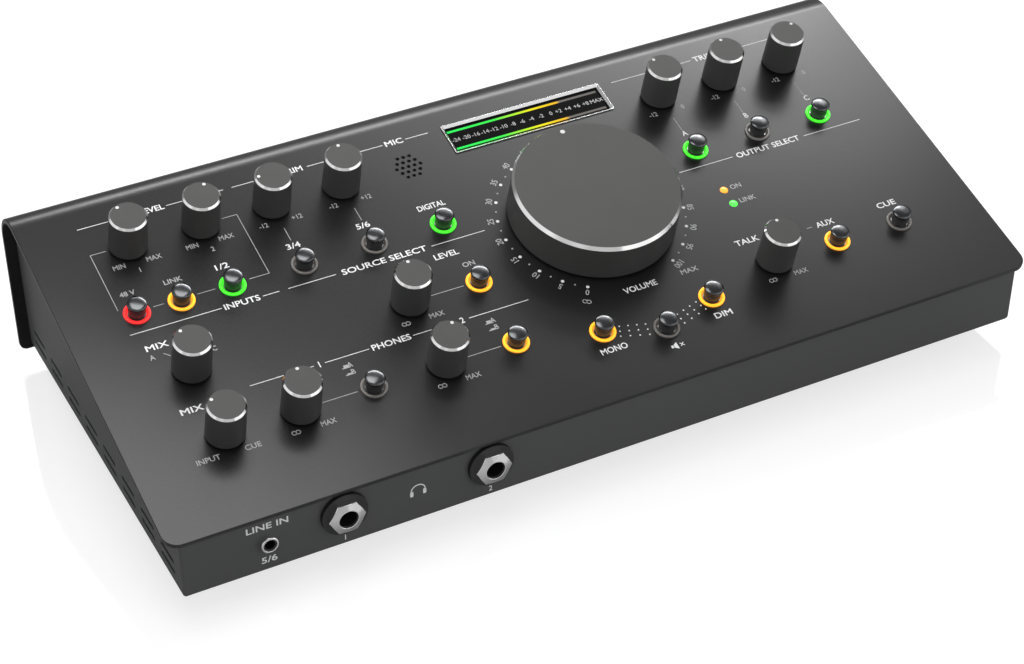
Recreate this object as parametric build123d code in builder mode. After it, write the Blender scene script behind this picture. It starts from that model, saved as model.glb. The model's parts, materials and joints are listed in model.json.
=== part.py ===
from build123d import *
import os
from math import cos, radians, sin, tan

"""Desktop studio monitor controller: a sloping sheet-metal console with knobs, lit keys,
a level meter, phones jacks at the front and line connectors at the rear.

Millimetres. X runs to the right, Y to the rear and Z up. The origin lies on the table, under
the middle of the footprint. Everything on the sloping panel is laid out on PANEL, whose X is
the panel's width, whose Y climbs the slope from the front edge and whose Z leaves the panel.
"""

# Case
CASE_WIDTH = 331.0          # cover, side to side
CASE_DEPTH = 153.3          # cover, front edge to rear wall
FRONT_HEIGHT = 25.5         # underside of the case to the cover's front edge
PANEL_SLOPE = 14.8          # degrees
COVER_SHEET = 1.5
BEND_RADIUS = 12.5          # outside of the bend between panel and rear wall
COVER_CORNER = 5.5
COVER_EDGE = 0.35           # worn edge round the cover's outer face
REAR_WALL_CORNER = 3.0
SIDE_OVERHANG = 4.3         # cover beyond the chassis, each side
FRONT_OVERHANG = 1.5        # cover beyond the front panel
CHASSIS_SHEET = 1.2
CHASSIS_FLANGE = 12.0
CHASSIS_LOWER_BEND = 2.0
CHASSIS_FRONT_BEND = 1.0
PLATE_SHEET = 1.0
PLATE_INSET = 2.5
SHEET_GAP = 0.1             # between sheets that are slid together
FOOT_HEIGHT = 6.5
FOOT_RADIUS = 7.5
FOOT_INSET = 18.0
FOOT_SCREW_RADIUS = 1.5
EAR_RISE = 15.0             # rear ears of the chassis, above the front's height

# Panel layout, as panel X and Y
FIRST_COLUMN = 25.0
COLUMN_PITCH = 26.6
FIRST_ROW = 35.0
ROW_PITCH = 28.75
VOLUME_AT = (26.8, 77.8)
CORNER_KEY_STEP = 16.0      # between the two keys that share a column
MIX_KEY_REACH = 21.7        # outer keys below the volume knob, from its centre line
MIX_KEY_ROW = 28.4
MUTE_KEY_ROW = 21.9
METER_COLUMN = 27.0
METER_MARGIN = 30.2         # meter's middle line to the panel's rear edge
MICROPHONE_AT = (-24.65, 121.75)
LAMP_ROWS = (64.2, 71.2)

# Knobs
SHAFT_RADIUS = 3.0
SHAFT_CLEARANCE = 0.05
KNOB_GAP = 1.0              # panel to knob
KNOB_RADIUS = 6.65
KNOB_TAPER = 0.13           # skirt's extra radius at its foot
KNOB_HEIGHT = 15.0
KNOB_BEVEL = 0.85
KNOB_ROOF = 1.7             # between the hollow of the skirt and the top
KNOB_HUB_RADIUS = 4.4
KNOB_WALL = 1.0
POINTER_RADIUS = 0.6
POINTER_DEPTH = 0.25
POINTER_INSET = 0.65        # pointer's centre from the bevel
VOLUME_KNOB_RADIUS = 30.4
VOLUME_KNOB_HEIGHT = 14.9
VOLUME_KNOB_BEVEL = 1.3
VOLUME_KNOB_ROOF = 2.4
VOLUME_HUB_RADIUS = 7.0
VOLUME_WALL = 2.0
VOLUME_POINTER_RADIUS = 0.9
VOLUME_POINTER_INSET = 2.4

# Keys
KEY_CAP_RADIUS = 3.4
KEY_CAP_THICKNESS = 1.9
KEY_CAP_DOME = 0.8
KEY_CAP_UNDERCUT = 0.6
KEY_PROUD = 6.0
KEY_STEM_RADIUS = 2.3
KEY_GUIDE_RADIUS = 2.65
KEY_TRAVEL = 1.0
RING_RADIUS = 4.7
RING_PROUD = 0.7
RING_BODY_RADIUS = 4.05
RING_LIP = 0.75
RING_FUNNEL = 0.8
SLEEVE_RADIUS = 3.1
SLEEVE_CLEARANCE = 0.05
KEY_SWITCH_SIZE = 8.4
KEY_SWITCH_TOP = -3.0

# Meter, microphone and lamps
METER_SIZE = (65.4, 13.9)
METER_FRAME = 0.7
METER_PROUD = 0.5
METER_RECESS = 0.8
METER_WINDOW = 1.0
METER_STRIP = (61.6, 1.2)
METER_STRIP_REACH = 4.2     # strip's centre from the meter's middle line
GRILLE_PITCH = 2.34
GRILLE_ROWS = (3, 4, 5, 4, 3)
GRILLE_HOLE_RADIUS = 0.72
MICROPHONE_RADIUS = 6.2
MICROPHONE_DEPTH = 4.5
LAMP_RADIUS = 1.5
LAMP_PROUD = 0.5

# Boards and what stands on them
BOARD_DROP = 10.0           # panel's face to the board's upper face
BOARD_SHEET = 1.6
BOARD_MARGIN = 11.2         # side of the chassis to the board
BOARD_FRONT = 28.0
BOARD_REAR_MARGIN = 21.6    # board's rear edge to the panel's
BOARD_TAB = (-8.0, 62.0)
BOARD_TAB_FRONT = 14.0
REAR_BOARD_HEIGHT = 38.0
REAR_BOARD_MARGIN = 14.0    # beyond the outer sockets that it carries
POST_RADIUS = 2.5
POST_ROWS = (48.0, 78.0, 107.0)
POST_MARGIN = 5.0           # last posts to the board's rear edge
TAB_POST_ROWS = (58.0, 106.0)
POT_SIZE = (9.6, 11.4)
POT_TOP = -3.2
BUSHING_RADIUS = 3.6
VOLUME_POT_SIZE = 16.5
SHAFT_FOOT = -8.0

# Connectors
JACK_RADIUS = 3.2           # 6.35 mm plug
JACK_BORE_DEPTH = 18.0
JACK_BUSHING_RADIUS = 4.7
JACK_SHOULDER_RADIUS = 8.12
JACK_BODY = 16.4
JACK_LENGTH = 22.0
NUT_FLATS = 11.4
NUT_EDGE = 1.9              # nut's thickness at its corners
NUT_THICKNESS = 2.9
NUT_LIP = 0.7               # nut's front, which covers the end of the bushing
NUT_LIP_RADIUS = 3.4
NUT_CREST_RADIUS = 3.7
NUT_THREAD_CLEARANCE = 0.05
FRONT_JACK_HEIGHT = 15.5    # above the underside of the case
AUX_JACK_HEIGHT = 13.5
AUX_RADIUS = 1.8            # 3.5 mm plug
AUX_MOUTH_RADIUS = 2.35     # ring's mouth, wider than the socket
AUX_RING_RADIUS = 3.1
AUX_RING_PROUD = 2.1
AUX_BUSHING_RADIUS = 2.6
AUX_LENGTH = 14.0
REAR_MARGIN = 15.0          # side of the chassis to the outermost connector
LINE_JACK_PAIRS = 7
LINE_JACK_HEIGHTS = (12.5, 30.5)
COMBO_HEIGHT = 21.5
COMBO_RADIUS = 11.9
COMBO_FLANGE = (26.0, 31.0, 1.8)
COMBO_GROOVE = (9.6, 8.3, 6.0)      # outer radius, inner radius, depth
USB_HEIGHT = 16.0
USB_SIZE = (12.0, 10.9)
USB_SHELL = 0.6
USB_DEPTH = 16.0
USB_TONGUE = (5.6, 3.2)
DC_HEIGHT = 16.0
DC_RADIUS = 5.6
DC_MOUTH_RADIUS = 3.1
DC_PIN_RADIUS = 1.0
DC_DEPTH = 14.0
POWER_HEIGHT = 20.0
POWER_RADIUS = 4.5
POWER_PROUD = 2.6
POWER_TRAVEL = 1.5
POWER_COLLAR = 7.0
FIT = 0.1                   # clearance of a body in its cut-out

# Rear vents and side vents
REAR_SLOT_PITCH = 6.4
REAR_SLOT_WIDTH = 3.4
REAR_SLOT_LENGTH = 15.2
REAR_SLOT_DROP = 6.8        # slots' top, below the line where panel and wall would meet
REAR_SLOT_MARGIN = 10.0     # cover's side to the first slot
SIDE_SLOT_PITCH = 17.9
SIDE_SLOT_MARGIN = 7.5      # cover's front or rear to the first slot
SIDE_SLOT = (11.8, 1.6)
SIDE_SLOT_HEIGHTS = (7.2, 11.7)

# Screws
SCREW_RADIUS = 1.5
SCREW_HEAD_RADIUS = 2.8
SCREW_HEAD = 1.2
SCREW_LENGTH = 5.0
REAR_SCREW_FOOT = 9.0       # lower screw, above the underside of the case
REAR_SCREW_DROP = 3.5       # upper screw, below the top of its ear
PLATE_SCREW_ROW = 30.0      # side screws, from the middle of the depth
PLATE_SCREW_INSET = 66.2    # outer front screws, from the side of the chassis

FRONT = -CASE_DEPTH / 2
REAR = CASE_DEPTH / 2
FLOOR = FOOT_HEIGHT                     # underside of the case
WALL_INNER = REAR - COVER_SHEET
PANEL_FRONT = FRONT + FRONT_OVERHANG    # outer face of the front panel
PANEL_INNER = PANEL_FRONT + CHASSIS_SHEET
BODY_WIDTH = CASE_WIDTH - 2 * SIDE_OVERHANG
CHASSIS_FLOOR = FLOOR + PLATE_SHEET
SLOPE = radians(PANEL_SLOPE)
PANEL_LENGTH = CASE_DEPTH / cos(SLOPE)
METER_AT = (METER_COLUMN, PANEL_LENGTH - METER_MARGIN)
BOARD_REAR = PANEL_LENGTH - BOARD_REAR_MARGIN
CREST_HEIGHT = FRONT_HEIGHT + CASE_DEPTH * tan(SLOPE)   # panel's line at the rear wall
EAR_HEIGHT = FRONT_HEIGHT + EAR_RISE


def spread(widths, span):
    """Centres of pieces that stand in a row about 0, with equal gaps, and fill a span."""
    gap = (span - sum(widths)) / (len(widths) - 1)
    edge = -span / 2
    for width in widths:
        yield edge + width / 2
        edge += width + gap


def fitting(length, span, pitch):
    """How many slots of a length go into a span at a pitch."""
    return int((span - length) / pitch) + 1


CONNECTOR_WIDTHS = [COMBO_FLANGE[0]] * 2 + [NUT_FLATS / cos(radians(30))] * LINE_JACK_PAIRS
CONNECTOR_WIDTHS += [USB_SIZE[0], 2 * DC_RADIUS, 2 * POWER_COLLAR]
REAR_COLUMNS = list(spread(CONNECTOR_WIDTHS, BODY_WIDTH - 2 * REAR_MARGIN))
COMBO_COLUMNS, LINE_JACK_COLUMNS = REAR_COLUMNS[:2], REAR_COLUMNS[2:-3]
USB_COLUMN, DC_COLUMN, POWER_COLUMN = REAR_COLUMNS[-3:]

PANEL = Plane(origin=(0, FRONT, FLOOR + FRONT_HEIGHT), x_dir=(1, 0, 0),
              z_dir=(0, -sin(SLOPE), cos(SLOPE)))
FRONT_FACE = Plane(origin=(0, FRONT, FLOOR), x_dir=(1, 0, 0), z_dir=(0, -1, 0))
REAR_FACE = Plane(origin=(0, REAR, FLOOR), x_dir=(-1, 0, 0), z_dir=(0, 1, 0))


def column(number):
    """Panel X of a column, counted outwards from the middle: -1 and 1 are the innermost."""
    reach = FIRST_COLUMN + (abs(number) - 1) * COLUMN_PITCH
    return reach if number > 0 else -reach


def row(number):
    """Panel Y of a row, counted from the front."""
    return FIRST_ROW + number * ROW_PITCH


# name: (panel X, panel Y, pointer's direction in degrees)
KNOBS = {
    "input_1_gain_knob": (column(-5), row(3), 115),
    "input_2_gain_knob": (column(-4), row(3), 59),
    "line_3_4_trim_knob": (column(-3), row(3), 166),
    "line_5_6_trim_knob": (column(-2), row(3), 88),
    "monitor_a_trim_knob": (column(3), row(3), 118),
    "monitor_b_trim_knob": (column(4), row(3), 88),
    "monitor_c_trim_knob": (column(5), row(3), 45),
    "cue_source_knob": (column(-5), row(1), 118),
    "direct_mix_knob": (column(-5), row(0), 137),
    "phones_1_level_knob": (column(-4), row(0), 88),
    "studio_level_knob": (column(-2), row(1), 87),
    "phones_2_level_knob": (column(-2), row(0), 59),
    "talkback_level_knob": (column(3), row(0), 87),
}

# name: (panel X, panel Y, colour of the light ring)
KEYS = {
    "phantom_power_key": (column(-5) - CORNER_KEY_STEP / 2, row(2), "red"),
    "stereo_link_key": (column(-5) + CORNER_KEY_STEP / 2, row(2), "amber"),
    "input_1_2_key": (column(-4), row(2), "green"),
    "input_3_4_key": (column(-3), row(2), "clear"),
    "input_5_6_key": (column(-2), row(2), "clear"),
    "usb_key": (column(-1), row(2), "green"),
    "studio_on_key": (column(-1), row(1), "amber"),
    "phones_1_key": (column(-3), row(0), "clear"),
    "phones_2_key": (column(-1), row(0), "amber"),
    "mono_key": (VOLUME_AT[0] - MIX_KEY_REACH, MIX_KEY_ROW, "amber"),
    "mute_key": (VOLUME_AT[0], MUTE_KEY_ROW, "clear"),
    "dim_key": (VOLUME_AT[0] + MIX_KEY_REACH, MIX_KEY_ROW, "amber"),
    "monitor_a_key": (column(3), row(2), "green"),
    "monitor_b_key": (column(4), row(2), "clear"),
    "monitor_c_key": (column(5), row(2), "green"),
    "two_track_key": (column(4), row(0), "amber"),
    "cue_key": (column(5), row(0), "clear"),
}

KNOB_SPOTS = [(u, v) for u, v, _ in KNOBS.values()]
KEY_SPOTS = [(u, v) for u, v, _ in KEYS.values()]
LAMP_SPOTS = [(column(3), v) for v in LAMP_ROWS]
BOARD_HALF_WIDTH = BODY_WIDTH / 2 - BOARD_MARGIN
POST_SPOTS = [(side * (BOARD_HALF_WIDTH - 2 * POST_RADIUS), v)
              for side in (-1, 1) for v in (*POST_ROWS, BOARD_REAR - POST_MARGIN)]
POST_SPOTS += [(u, v) for u in BOARD_TAB for v in TAB_POST_ROWS]
FOOT_SPOTS = [(x, y) for x in (-BODY_WIDTH / 2 + FOOT_INSET, BODY_WIDTH / 2 - FOOT_INSET)
              for y in (FRONT + FOOT_INSET, REAR - FOOT_INSET)]
FRONT_JACKS = [(column(number), FRONT_JACK_HEIGHT) for number in (-4, -2)]
LINE_JACKS = [(-x, z) for x in LINE_JACK_COLUMNS for z in LINE_JACK_HEIGHTS]
COMBOS = [(-x, COMBO_HEIGHT) for x in COMBO_COLUMNS]
USB_SPOT, DC_SPOT, POWER_SPOT = [(-USB_COLUMN, USB_HEIGHT), (-DC_COLUMN, DC_HEIGHT),
                                 (-POWER_COLUMN, POWER_HEIGHT)]
REAR_SCREWS = [(side * (BODY_WIDTH - CHASSIS_FLANGE) / 2, z) for side in (-1, 1)
               for z in (REAR_SCREW_FOOT, PLATE_SHEET + EAR_HEIGHT - REAR_SCREW_DROP)]
PLATE_SCREWS = [(side * (BODY_WIDTH / 2 - CHASSIS_FLANGE / 2 - CHASSIS_SHEET), y)
                for side in (-1, 1) for y in (-PLATE_SCREW_ROW, PLATE_SCREW_ROW)]
PLATE_SCREWS += [(side * (BODY_WIDTH / 2 - PLATE_SCREW_INSET), PANEL_INNER + CHASSIS_FLANGE / 2)
                 for side in (-1, 0, 1)]


def grille_holes():
    """Centres of the microphone's holes: rows of a hexagon, each shifted by half a pitch."""
    for index, count in enumerate(GRILLE_ROWS):
        v = MICROPHONE_AT[1] + (index - (len(GRILLE_ROWS) - 1) / 2) * GRILLE_PITCH
        for step in range(count):
            yield MICROPHONE_AT[0] + (step - (count - 1) / 2) * GRILLE_PITCH, v


def on_panel(u, v, lift=0.0):
    """Plane at a spot of the panel, its Z leaving the panel."""
    return Plane(PANEL.from_local_coords((u, v, lift)), x_dir=PANEL.x_dir, z_dir=PANEL.z_dir)


def section_at(spot):
    """Plane of a turned part's half section: X is the radius, Y the height above the spot."""
    return Plane(spot.origin, x_dir=spot.x_dir, z_dir=-spot.y_dir)


def turned(spot, outline):
    """Solid of revolution about the spot's Z, from an outline of (radius, height) points."""
    with BuildPart() as solid:
        with BuildSketch(section_at(spot)):
            with BuildLine():
                Polyline(*outline, close=True)
            make_face()
        revolve(axis=Axis(spot.origin, spot.z_dir))
    return solid.part


def is_outer_bend(face):
    """Whether a face is the outside of the bend between panel and rear wall."""
    return face.geom_type == GeomType.CYLINDER and abs(face.radius - BEND_RADIUS) < 1e-6


def save(name, *solids):
    """Write one node: a single solid, or separate solids that belong together."""
    node = solids[0] if len(solids) == 1 else Compound(children=list(solids))
    node.label = name
    export_step(node, f"parts/{name}.step")


os.makedirs("parts", exist_ok=True)


# ---------------------------------------------------------------- sheet metal

with BuildPart() as top_cover:
    with BuildSketch(Plane.YZ):
        with BuildLine():
            FilletPolyline((FRONT, FLOOR + FRONT_HEIGHT),
                           (REAR, FLOOR + FRONT_HEIGHT + CASE_DEPTH * tan(SLOPE)),
                           (REAR, FLOOR), radius=BEND_RADIUS)
            offset(amount=COVER_SHEET, side=Side.RIGHT)
        make_face()
    extrude(amount=CASE_WIDTH / 2, both=True)
    fillet(top_cover.edges().filter_by(Axis((0, 0, 0), PANEL.z_dir)).sort_by(Axis.Y)[:2],
           COVER_CORNER)
    fillet(top_cover.edges().filter_by(Axis.Y).sort_by(Axis.Z)[:2], REAR_WALL_CORNER)
    outer = ShapeList([top_cover.faces().filter_by(PANEL).sort_by(Axis.Z)[-1],
                       top_cover.faces().filter_by(REAR_FACE).sort_by(Axis.Y)[-1],
                       top_cover.faces().filter_by(is_outer_bend)[0]])
    rim = [edge for edge in outer.edges() if sum(edge in face.edges() for face in outer) == 1]
    fillet(rim, COVER_EDGE)
    with BuildSketch(PANEL):
        with Locations(*KNOB_SPOTS, VOLUME_AT):
            Circle(SHAFT_RADIUS + FIT)
        with Locations(*KEY_SPOTS):
            Circle(RING_BODY_RADIUS + FIT)
        with Locations(*LAMP_SPOTS):
            Circle(LAMP_RADIUS + FIT)
        with Locations(*grille_holes()):
            Circle(GRILLE_HOLE_RADIUS)
        with Locations(METER_AT):
            Rectangle(METER_SIZE[0] - 2 * METER_FRAME + 2 * FIT,
                      METER_SIZE[1] - 2 * METER_FRAME + 2 * FIT)
    extrude(amount=-2 * COVER_SHEET, mode=Mode.SUBTRACT)
    with BuildSketch(REAR_FACE):
        with Locations(*LINE_JACKS):
            Circle(JACK_BUSHING_RADIUS + FIT)
        with Locations(*COMBOS):
            Circle(COMBO_RADIUS + FIT)
        with Locations(USB_SPOT):
            Rectangle(USB_SIZE[0] + 2 * FIT, USB_SIZE[1] + 2 * FIT)
        with Locations(DC_SPOT):
            Circle(DC_RADIUS + FIT)
        with Locations(POWER_SPOT):
            Circle(POWER_COLLAR + FIT)
        with Locations(*REAR_SCREWS):
            Circle(SCREW_RADIUS + FIT)
    extrude(amount=-2 * COVER_SHEET, mode=Mode.SUBTRACT)
    with BuildSketch(REAR_FACE):
        with Locations((0, CREST_HEIGHT - REAR_SLOT_DROP - REAR_SLOT_LENGTH / 2)):
            with GridLocations(REAR_SLOT_PITCH, 1, fitting(
                    REAR_SLOT_WIDTH, CASE_WIDTH - 2 * REAR_SLOT_MARGIN, REAR_SLOT_PITCH), 1):
                Rectangle(REAR_SLOT_WIDTH, REAR_SLOT_LENGTH)
    extrude(amount=-BEND_RADIUS, mode=Mode.SUBTRACT)
save("top_cover", top_cover.part)

with BuildPart() as chassis:
    inset = COVER_SHEET + SHEET_GAP
    crest = FLOOR + FRONT_HEIGHT - inset / cos(SLOPE)
    with BuildSketch(Plane.YZ) as side:
        with BuildLine():
            Polyline((PANEL_FRONT, CHASSIS_FLOOR),
                     (PANEL_FRONT, crest + FRONT_OVERHANG * tan(SLOPE)),
                     (REAR - inset, crest + (CASE_DEPTH - inset) * tan(SLOPE)),
                     (REAR - inset, CHASSIS_FLOOR), close=True)
        make_face()
        fillet(side.vertices().sort_by(Axis.Y)[-1], BEND_RADIUS - inset)
    extrude(amount=BODY_WIDTH / 2, both=True)
    floor_edges = chassis.faces().sort_by(Axis.Z)[0].edges()
    fillet([e for e in floor_edges if e.center().Y < REAR - 2 * inset], CHASSIS_LOWER_BEND)
    fillet(chassis.edges().filter_by(Axis.Z).sort_by(Axis.Y)[:2], CHASSIS_FRONT_BEND)
    with Locations((0, PANEL_INNER, CHASSIS_FLOOR + CHASSIS_SHEET)):
        Box(BODY_WIDTH - 2 * CHASSIS_SHEET, CASE_DEPTH, CASE_DEPTH,
            align=(Align.CENTER, Align.MIN, Align.MIN), mode=Mode.SUBTRACT)
    with Locations((0, PANEL_INNER + CHASSIS_FLANGE, CHASSIS_FLOOR)):
        Box(BODY_WIDTH - 2 * CHASSIS_SHEET - 2 * CHASSIS_FLANGE, CASE_DEPTH, CHASSIS_SHEET,
            align=(Align.CENTER, Align.MIN, Align.MIN), mode=Mode.SUBTRACT)
    for end in (-1, 1):
        with Locations((end * (BODY_WIDTH / 2 - CHASSIS_SHEET), REAR - inset, CHASSIS_FLOOR)):
            Box(CHASSIS_FLANGE, CHASSIS_SHEET, EAR_HEIGHT,
                align=(Align.MAX if end > 0 else Align.MIN, Align.MAX, Align.MIN))
    with BuildSketch(FRONT_FACE):
        with Locations(*FRONT_JACKS):
            Circle(JACK_SHOULDER_RADIUS + FIT)
        with Locations((column(-5), AUX_JACK_HEIGHT)):
            Circle(AUX_BUSHING_RADIUS + FIT)
    extrude(amount=-2 * (FRONT_OVERHANG + CHASSIS_SHEET), mode=Mode.SUBTRACT)
    with BuildSketch(Plane.YZ):
        for height in SIDE_SLOT_HEIGHTS:
            with Locations((0, FLOOR + height)):
                with GridLocations(SIDE_SLOT_PITCH, 1, fitting(
                        SIDE_SLOT[0], CASE_DEPTH - 2 * SIDE_SLOT_MARGIN, SIDE_SLOT_PITCH), 1):
                    SlotOverall(*SIDE_SLOT)
    extrude(amount=CASE_WIDTH / 2, both=True, mode=Mode.SUBTRACT)
    with BuildSketch(Plane.XY.offset(CHASSIS_FLOOR)):
        with Locations(*PLATE_SCREWS):
            Circle(SCREW_RADIUS + FIT)
    extrude(amount=CHASSIS_SHEET, mode=Mode.SUBTRACT)
    with BuildSketch(REAR_FACE):
        with Locations(*REAR_SCREWS):
            Circle(SCREW_RADIUS + FIT)
    extrude(amount=-2 * (inset + CHASSIS_SHEET), mode=Mode.SUBTRACT)
save("chassis", chassis.part)

with BuildPart() as bottom_plate:
    plate_front = PANEL_FRONT + PLATE_INSET
    plate_rear = WALL_INNER - SHEET_GAP
    with BuildSketch(Plane.XY.offset(FLOOR)):
        with Locations((0, (plate_front + plate_rear) / 2)):
            RectangleRounded(BODY_WIDTH - 2 * PLATE_INSET, plate_rear - plate_front, PLATE_INSET)
        with Locations(*PLATE_SCREWS, *FOOT_SPOTS):
            Circle(SCREW_RADIUS + FIT, mode=Mode.SUBTRACT)
    extrude(amount=PLATE_SHEET)
save("bottom_plate", bottom_plate.part)

with BuildPart() as rubber_feet:
    with BuildSketch(Plane.XY.offset(FLOOR)):
        with Locations(*FOOT_SPOTS):
            Circle(FOOT_RADIUS)
    extrude(amount=-FOOT_HEIGHT, taper=6)
    with BuildSketch(Plane.XY.offset(FLOOR)):
        with Locations(*FOOT_SPOTS):
            Circle(FOOT_SCREW_RADIUS)
    extrude(amount=PLATE_SHEET)
save("rubber_feet", rubber_feet.part)

with BuildPart() as case_screws:
    with BuildSketch(Plane.XY.offset(FLOOR)):
        with Locations(*PLATE_SCREWS):
            Circle(SCREW_HEAD_RADIUS)
    extrude(amount=-SCREW_HEAD)
    with BuildSketch(Plane.XY.offset(FLOOR)):
        with Locations(*PLATE_SCREWS):
            Circle(SCREW_RADIUS)
    extrude(amount=SCREW_LENGTH)
    with BuildSketch(REAR_FACE):
        with Locations(*REAR_SCREWS):
            Circle(SCREW_HEAD_RADIUS)
    extrude(amount=SCREW_HEAD)
    with BuildSketch(REAR_FACE):
        with Locations(*REAR_SCREWS):
            Circle(SCREW_RADIUS)
    extrude(amount=-SCREW_LENGTH)
save("case_screws", case_screws.part)


# ---------------------------------------------------------------- boards

with BuildPart() as panel_board:
    with BuildSketch(PANEL.offset(-BOARD_DROP)):
        with Locations((0, (BOARD_FRONT + BOARD_REAR) / 2)):
            Rectangle(2 * BOARD_HALF_WIDTH, BOARD_REAR - BOARD_FRONT)
        with Locations((sum(BOARD_TAB) / 2, (BOARD_TAB_FRONT + BOARD_FRONT) / 2)):
            Rectangle(BOARD_TAB[1] - BOARD_TAB[0], BOARD_FRONT - BOARD_TAB_FRONT)
    extrude(amount=-BOARD_SHEET)
save("panel_board", panel_board.part)

with BuildPart() as board_posts:
    with BuildSketch(PANEL.offset(-BOARD_DROP)):
        with Locations(*POST_SPOTS):
            RegularPolygon(POST_RADIUS, 6)
    extrude(amount=BOARD_DROP - COVER_SHEET)
save("board_posts", board_posts.part)

with BuildPart() as rear_board:
    with BuildSketch(REAR_FACE.offset(-COVER_SHEET - JACK_LENGTH)):
        with Locations((-(COMBO_COLUMNS[0] + LINE_JACK_COLUMNS[-1]) / 2,
                        sum(LINE_JACK_HEIGHTS) / 2)):
            Rectangle(LINE_JACK_COLUMNS[-1] - COMBO_COLUMNS[0] + 2 * REAR_BOARD_MARGIN,
                      REAR_BOARD_HEIGHT)
    extrude(amount=-BOARD_SHEET)
save("rear_board", rear_board.part)


# ---------------------------------------------------------------- controls under the panel

with BuildPart() as potentiometers:
    with BuildSketch(PANEL.offset(-BOARD_DROP)):
        with Locations(*KNOB_SPOTS):
            Rectangle(*POT_SIZE)
    extrude(amount=BOARD_DROP + POT_TOP)
    with BuildSketch(PANEL.offset(POT_TOP)):
        with Locations(*KNOB_SPOTS):
            Circle(BUSHING_RADIUS)
    extrude(amount=-COVER_SHEET - POT_TOP)
    with BuildSketch(PANEL):
        with Locations(*KNOB_SPOTS):
            Circle(SHAFT_RADIUS + SHAFT_CLEARANCE)
    extrude(amount=SHAFT_FOOT - 2 * SHAFT_CLEARANCE, mode=Mode.SUBTRACT)
save("potentiometers", potentiometers.part)

with BuildPart() as volume_potentiometer:
    with BuildSketch(PANEL.offset(-BOARD_DROP)):
        with Locations(VOLUME_AT):
            RectangleRounded(VOLUME_POT_SIZE, VOLUME_POT_SIZE, 2)
    extrude(amount=BOARD_DROP + POT_TOP)
    with BuildSketch(PANEL.offset(POT_TOP)):
        with Locations(VOLUME_AT):
            Circle(BUSHING_RADIUS)
    extrude(amount=-COVER_SHEET - POT_TOP)
    with BuildSketch(PANEL):
        with Locations(VOLUME_AT):
            Circle(SHAFT_RADIUS + SHAFT_CLEARANCE)
    extrude(amount=SHAFT_FOOT - 2 * SHAFT_CLEARANCE, mode=Mode.SUBTRACT)
save("volume_potentiometer", volume_potentiometer.part)

with BuildPart() as key_switches:
    with BuildSketch(PANEL.offset(-BOARD_DROP)):
        with Locations(*KEY_SPOTS):
            Rectangle(KEY_SWITCH_SIZE, KEY_SWITCH_SIZE)
    extrude(amount=BOARD_DROP + KEY_SWITCH_TOP)
    with BuildSketch(PANEL.offset(KEY_SWITCH_TOP)):
        with Locations(*KEY_SPOTS):
            Circle(SLEEVE_RADIUS)
    extrude(amount=-KEY_SWITCH_TOP)
    with BuildSketch(PANEL):
        with Locations(*KEY_SPOTS):
            Circle(KEY_GUIDE_RADIUS + SLEEVE_CLEARANCE)
    extrude(amount=SHAFT_FOOT - KEY_TRAVEL - FIT, mode=Mode.SUBTRACT)
save("key_switches", key_switches.part)


def light_ring(spot):
    """Translucent ring round a key: a flange on the panel, a funnel and a barrel below."""
    bore = SLEEVE_RADIUS + SLEEVE_CLEARANCE
    return turned(spot, [(bore, KEY_SWITCH_TOP), (RING_BODY_RADIUS, KEY_SWITCH_TOP),
                         (RING_BODY_RADIUS, 0), (RING_RADIUS, 0), (RING_RADIUS, RING_PROUD),
                         (RING_RADIUS - RING_LIP, RING_PROUD),
                         (bore, RING_PROUD - RING_FUNNEL)])


for colour in ("red", "amber", "green", "clear"):
    rings = [light_ring(on_panel(u, v)) for u, v, tint in KEYS.values() if tint == colour]
    save(f"{colour}_light_rings", *rings)


# ---------------------------------------------------------------- meter, microphone, lamps

with BuildPart() as meter_bezel:
    with BuildSketch(PANEL):
        with Locations(METER_AT):
            Rectangle(*METER_SIZE)
    extrude(amount=METER_PROUD)
    chamfer(meter_bezel.faces().sort_by(Axis(PANEL.origin, PANEL.z_dir))[-1].edges(), 0.3)
    with BuildSketch(PANEL):
        with Locations(METER_AT):
            Rectangle(METER_SIZE[0] - 2 * METER_FRAME, METER_SIZE[1] - 2 * METER_FRAME)
    extrude(amount=-METER_RECESS - METER_WINDOW)
    with BuildSketch(PANEL.offset(METER_PROUD)):
        with Locations(METER_AT):
            Rectangle(METER_SIZE[0] - 3 * METER_FRAME, METER_SIZE[1] - 3 * METER_FRAME)
    extrude(amount=-METER_PROUD - METER_RECESS - METER_WINDOW, mode=Mode.SUBTRACT)
save("meter_bezel", meter_bezel.part)

with BuildPart() as meter_window:
    with BuildSketch(PANEL.offset(-METER_RECESS)):
        with Locations(METER_AT):
            Rectangle(METER_SIZE[0] - 3 * METER_FRAME - FIT, METER_SIZE[1] - 3 * METER_FRAME - FIT)
    extrude(amount=-METER_WINDOW)
save("meter_window", meter_window.part)

with BuildPart() as meter_strips:
    with BuildSketch(PANEL.offset(-METER_RECESS - METER_WINDOW)):
        with Locations(*[(METER_AT[0], METER_AT[1] + side * METER_STRIP_REACH)
                         for side in (-1, 1)]):
            Rectangle(*METER_STRIP)
    extrude(amount=METER_RECESS + METER_WINDOW - BOARD_DROP)
save("meter_strips", meter_strips.part)

with BuildPart() as microphone:
    with BuildSketch(PANEL.offset(-COVER_SHEET)):
        with Locations(MICROPHONE_AT):
            Circle(MICROPHONE_RADIUS)
    extrude(amount=-MICROPHONE_DEPTH)
save("microphone", microphone.part)

lamps = [turned(on_panel(u, v), [(0, -BOARD_DROP), (LAMP_RADIUS, -BOARD_DROP),
                                 (LAMP_RADIUS, 0), (LAMP_RADIUS * 0.75, LAMP_PROUD * 0.8),
                                 (0, LAMP_PROUD)]) for u, v in LAMP_SPOTS]
save("indicator_lamps", *lamps)


# ---------------------------------------------------------------- connectors

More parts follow.
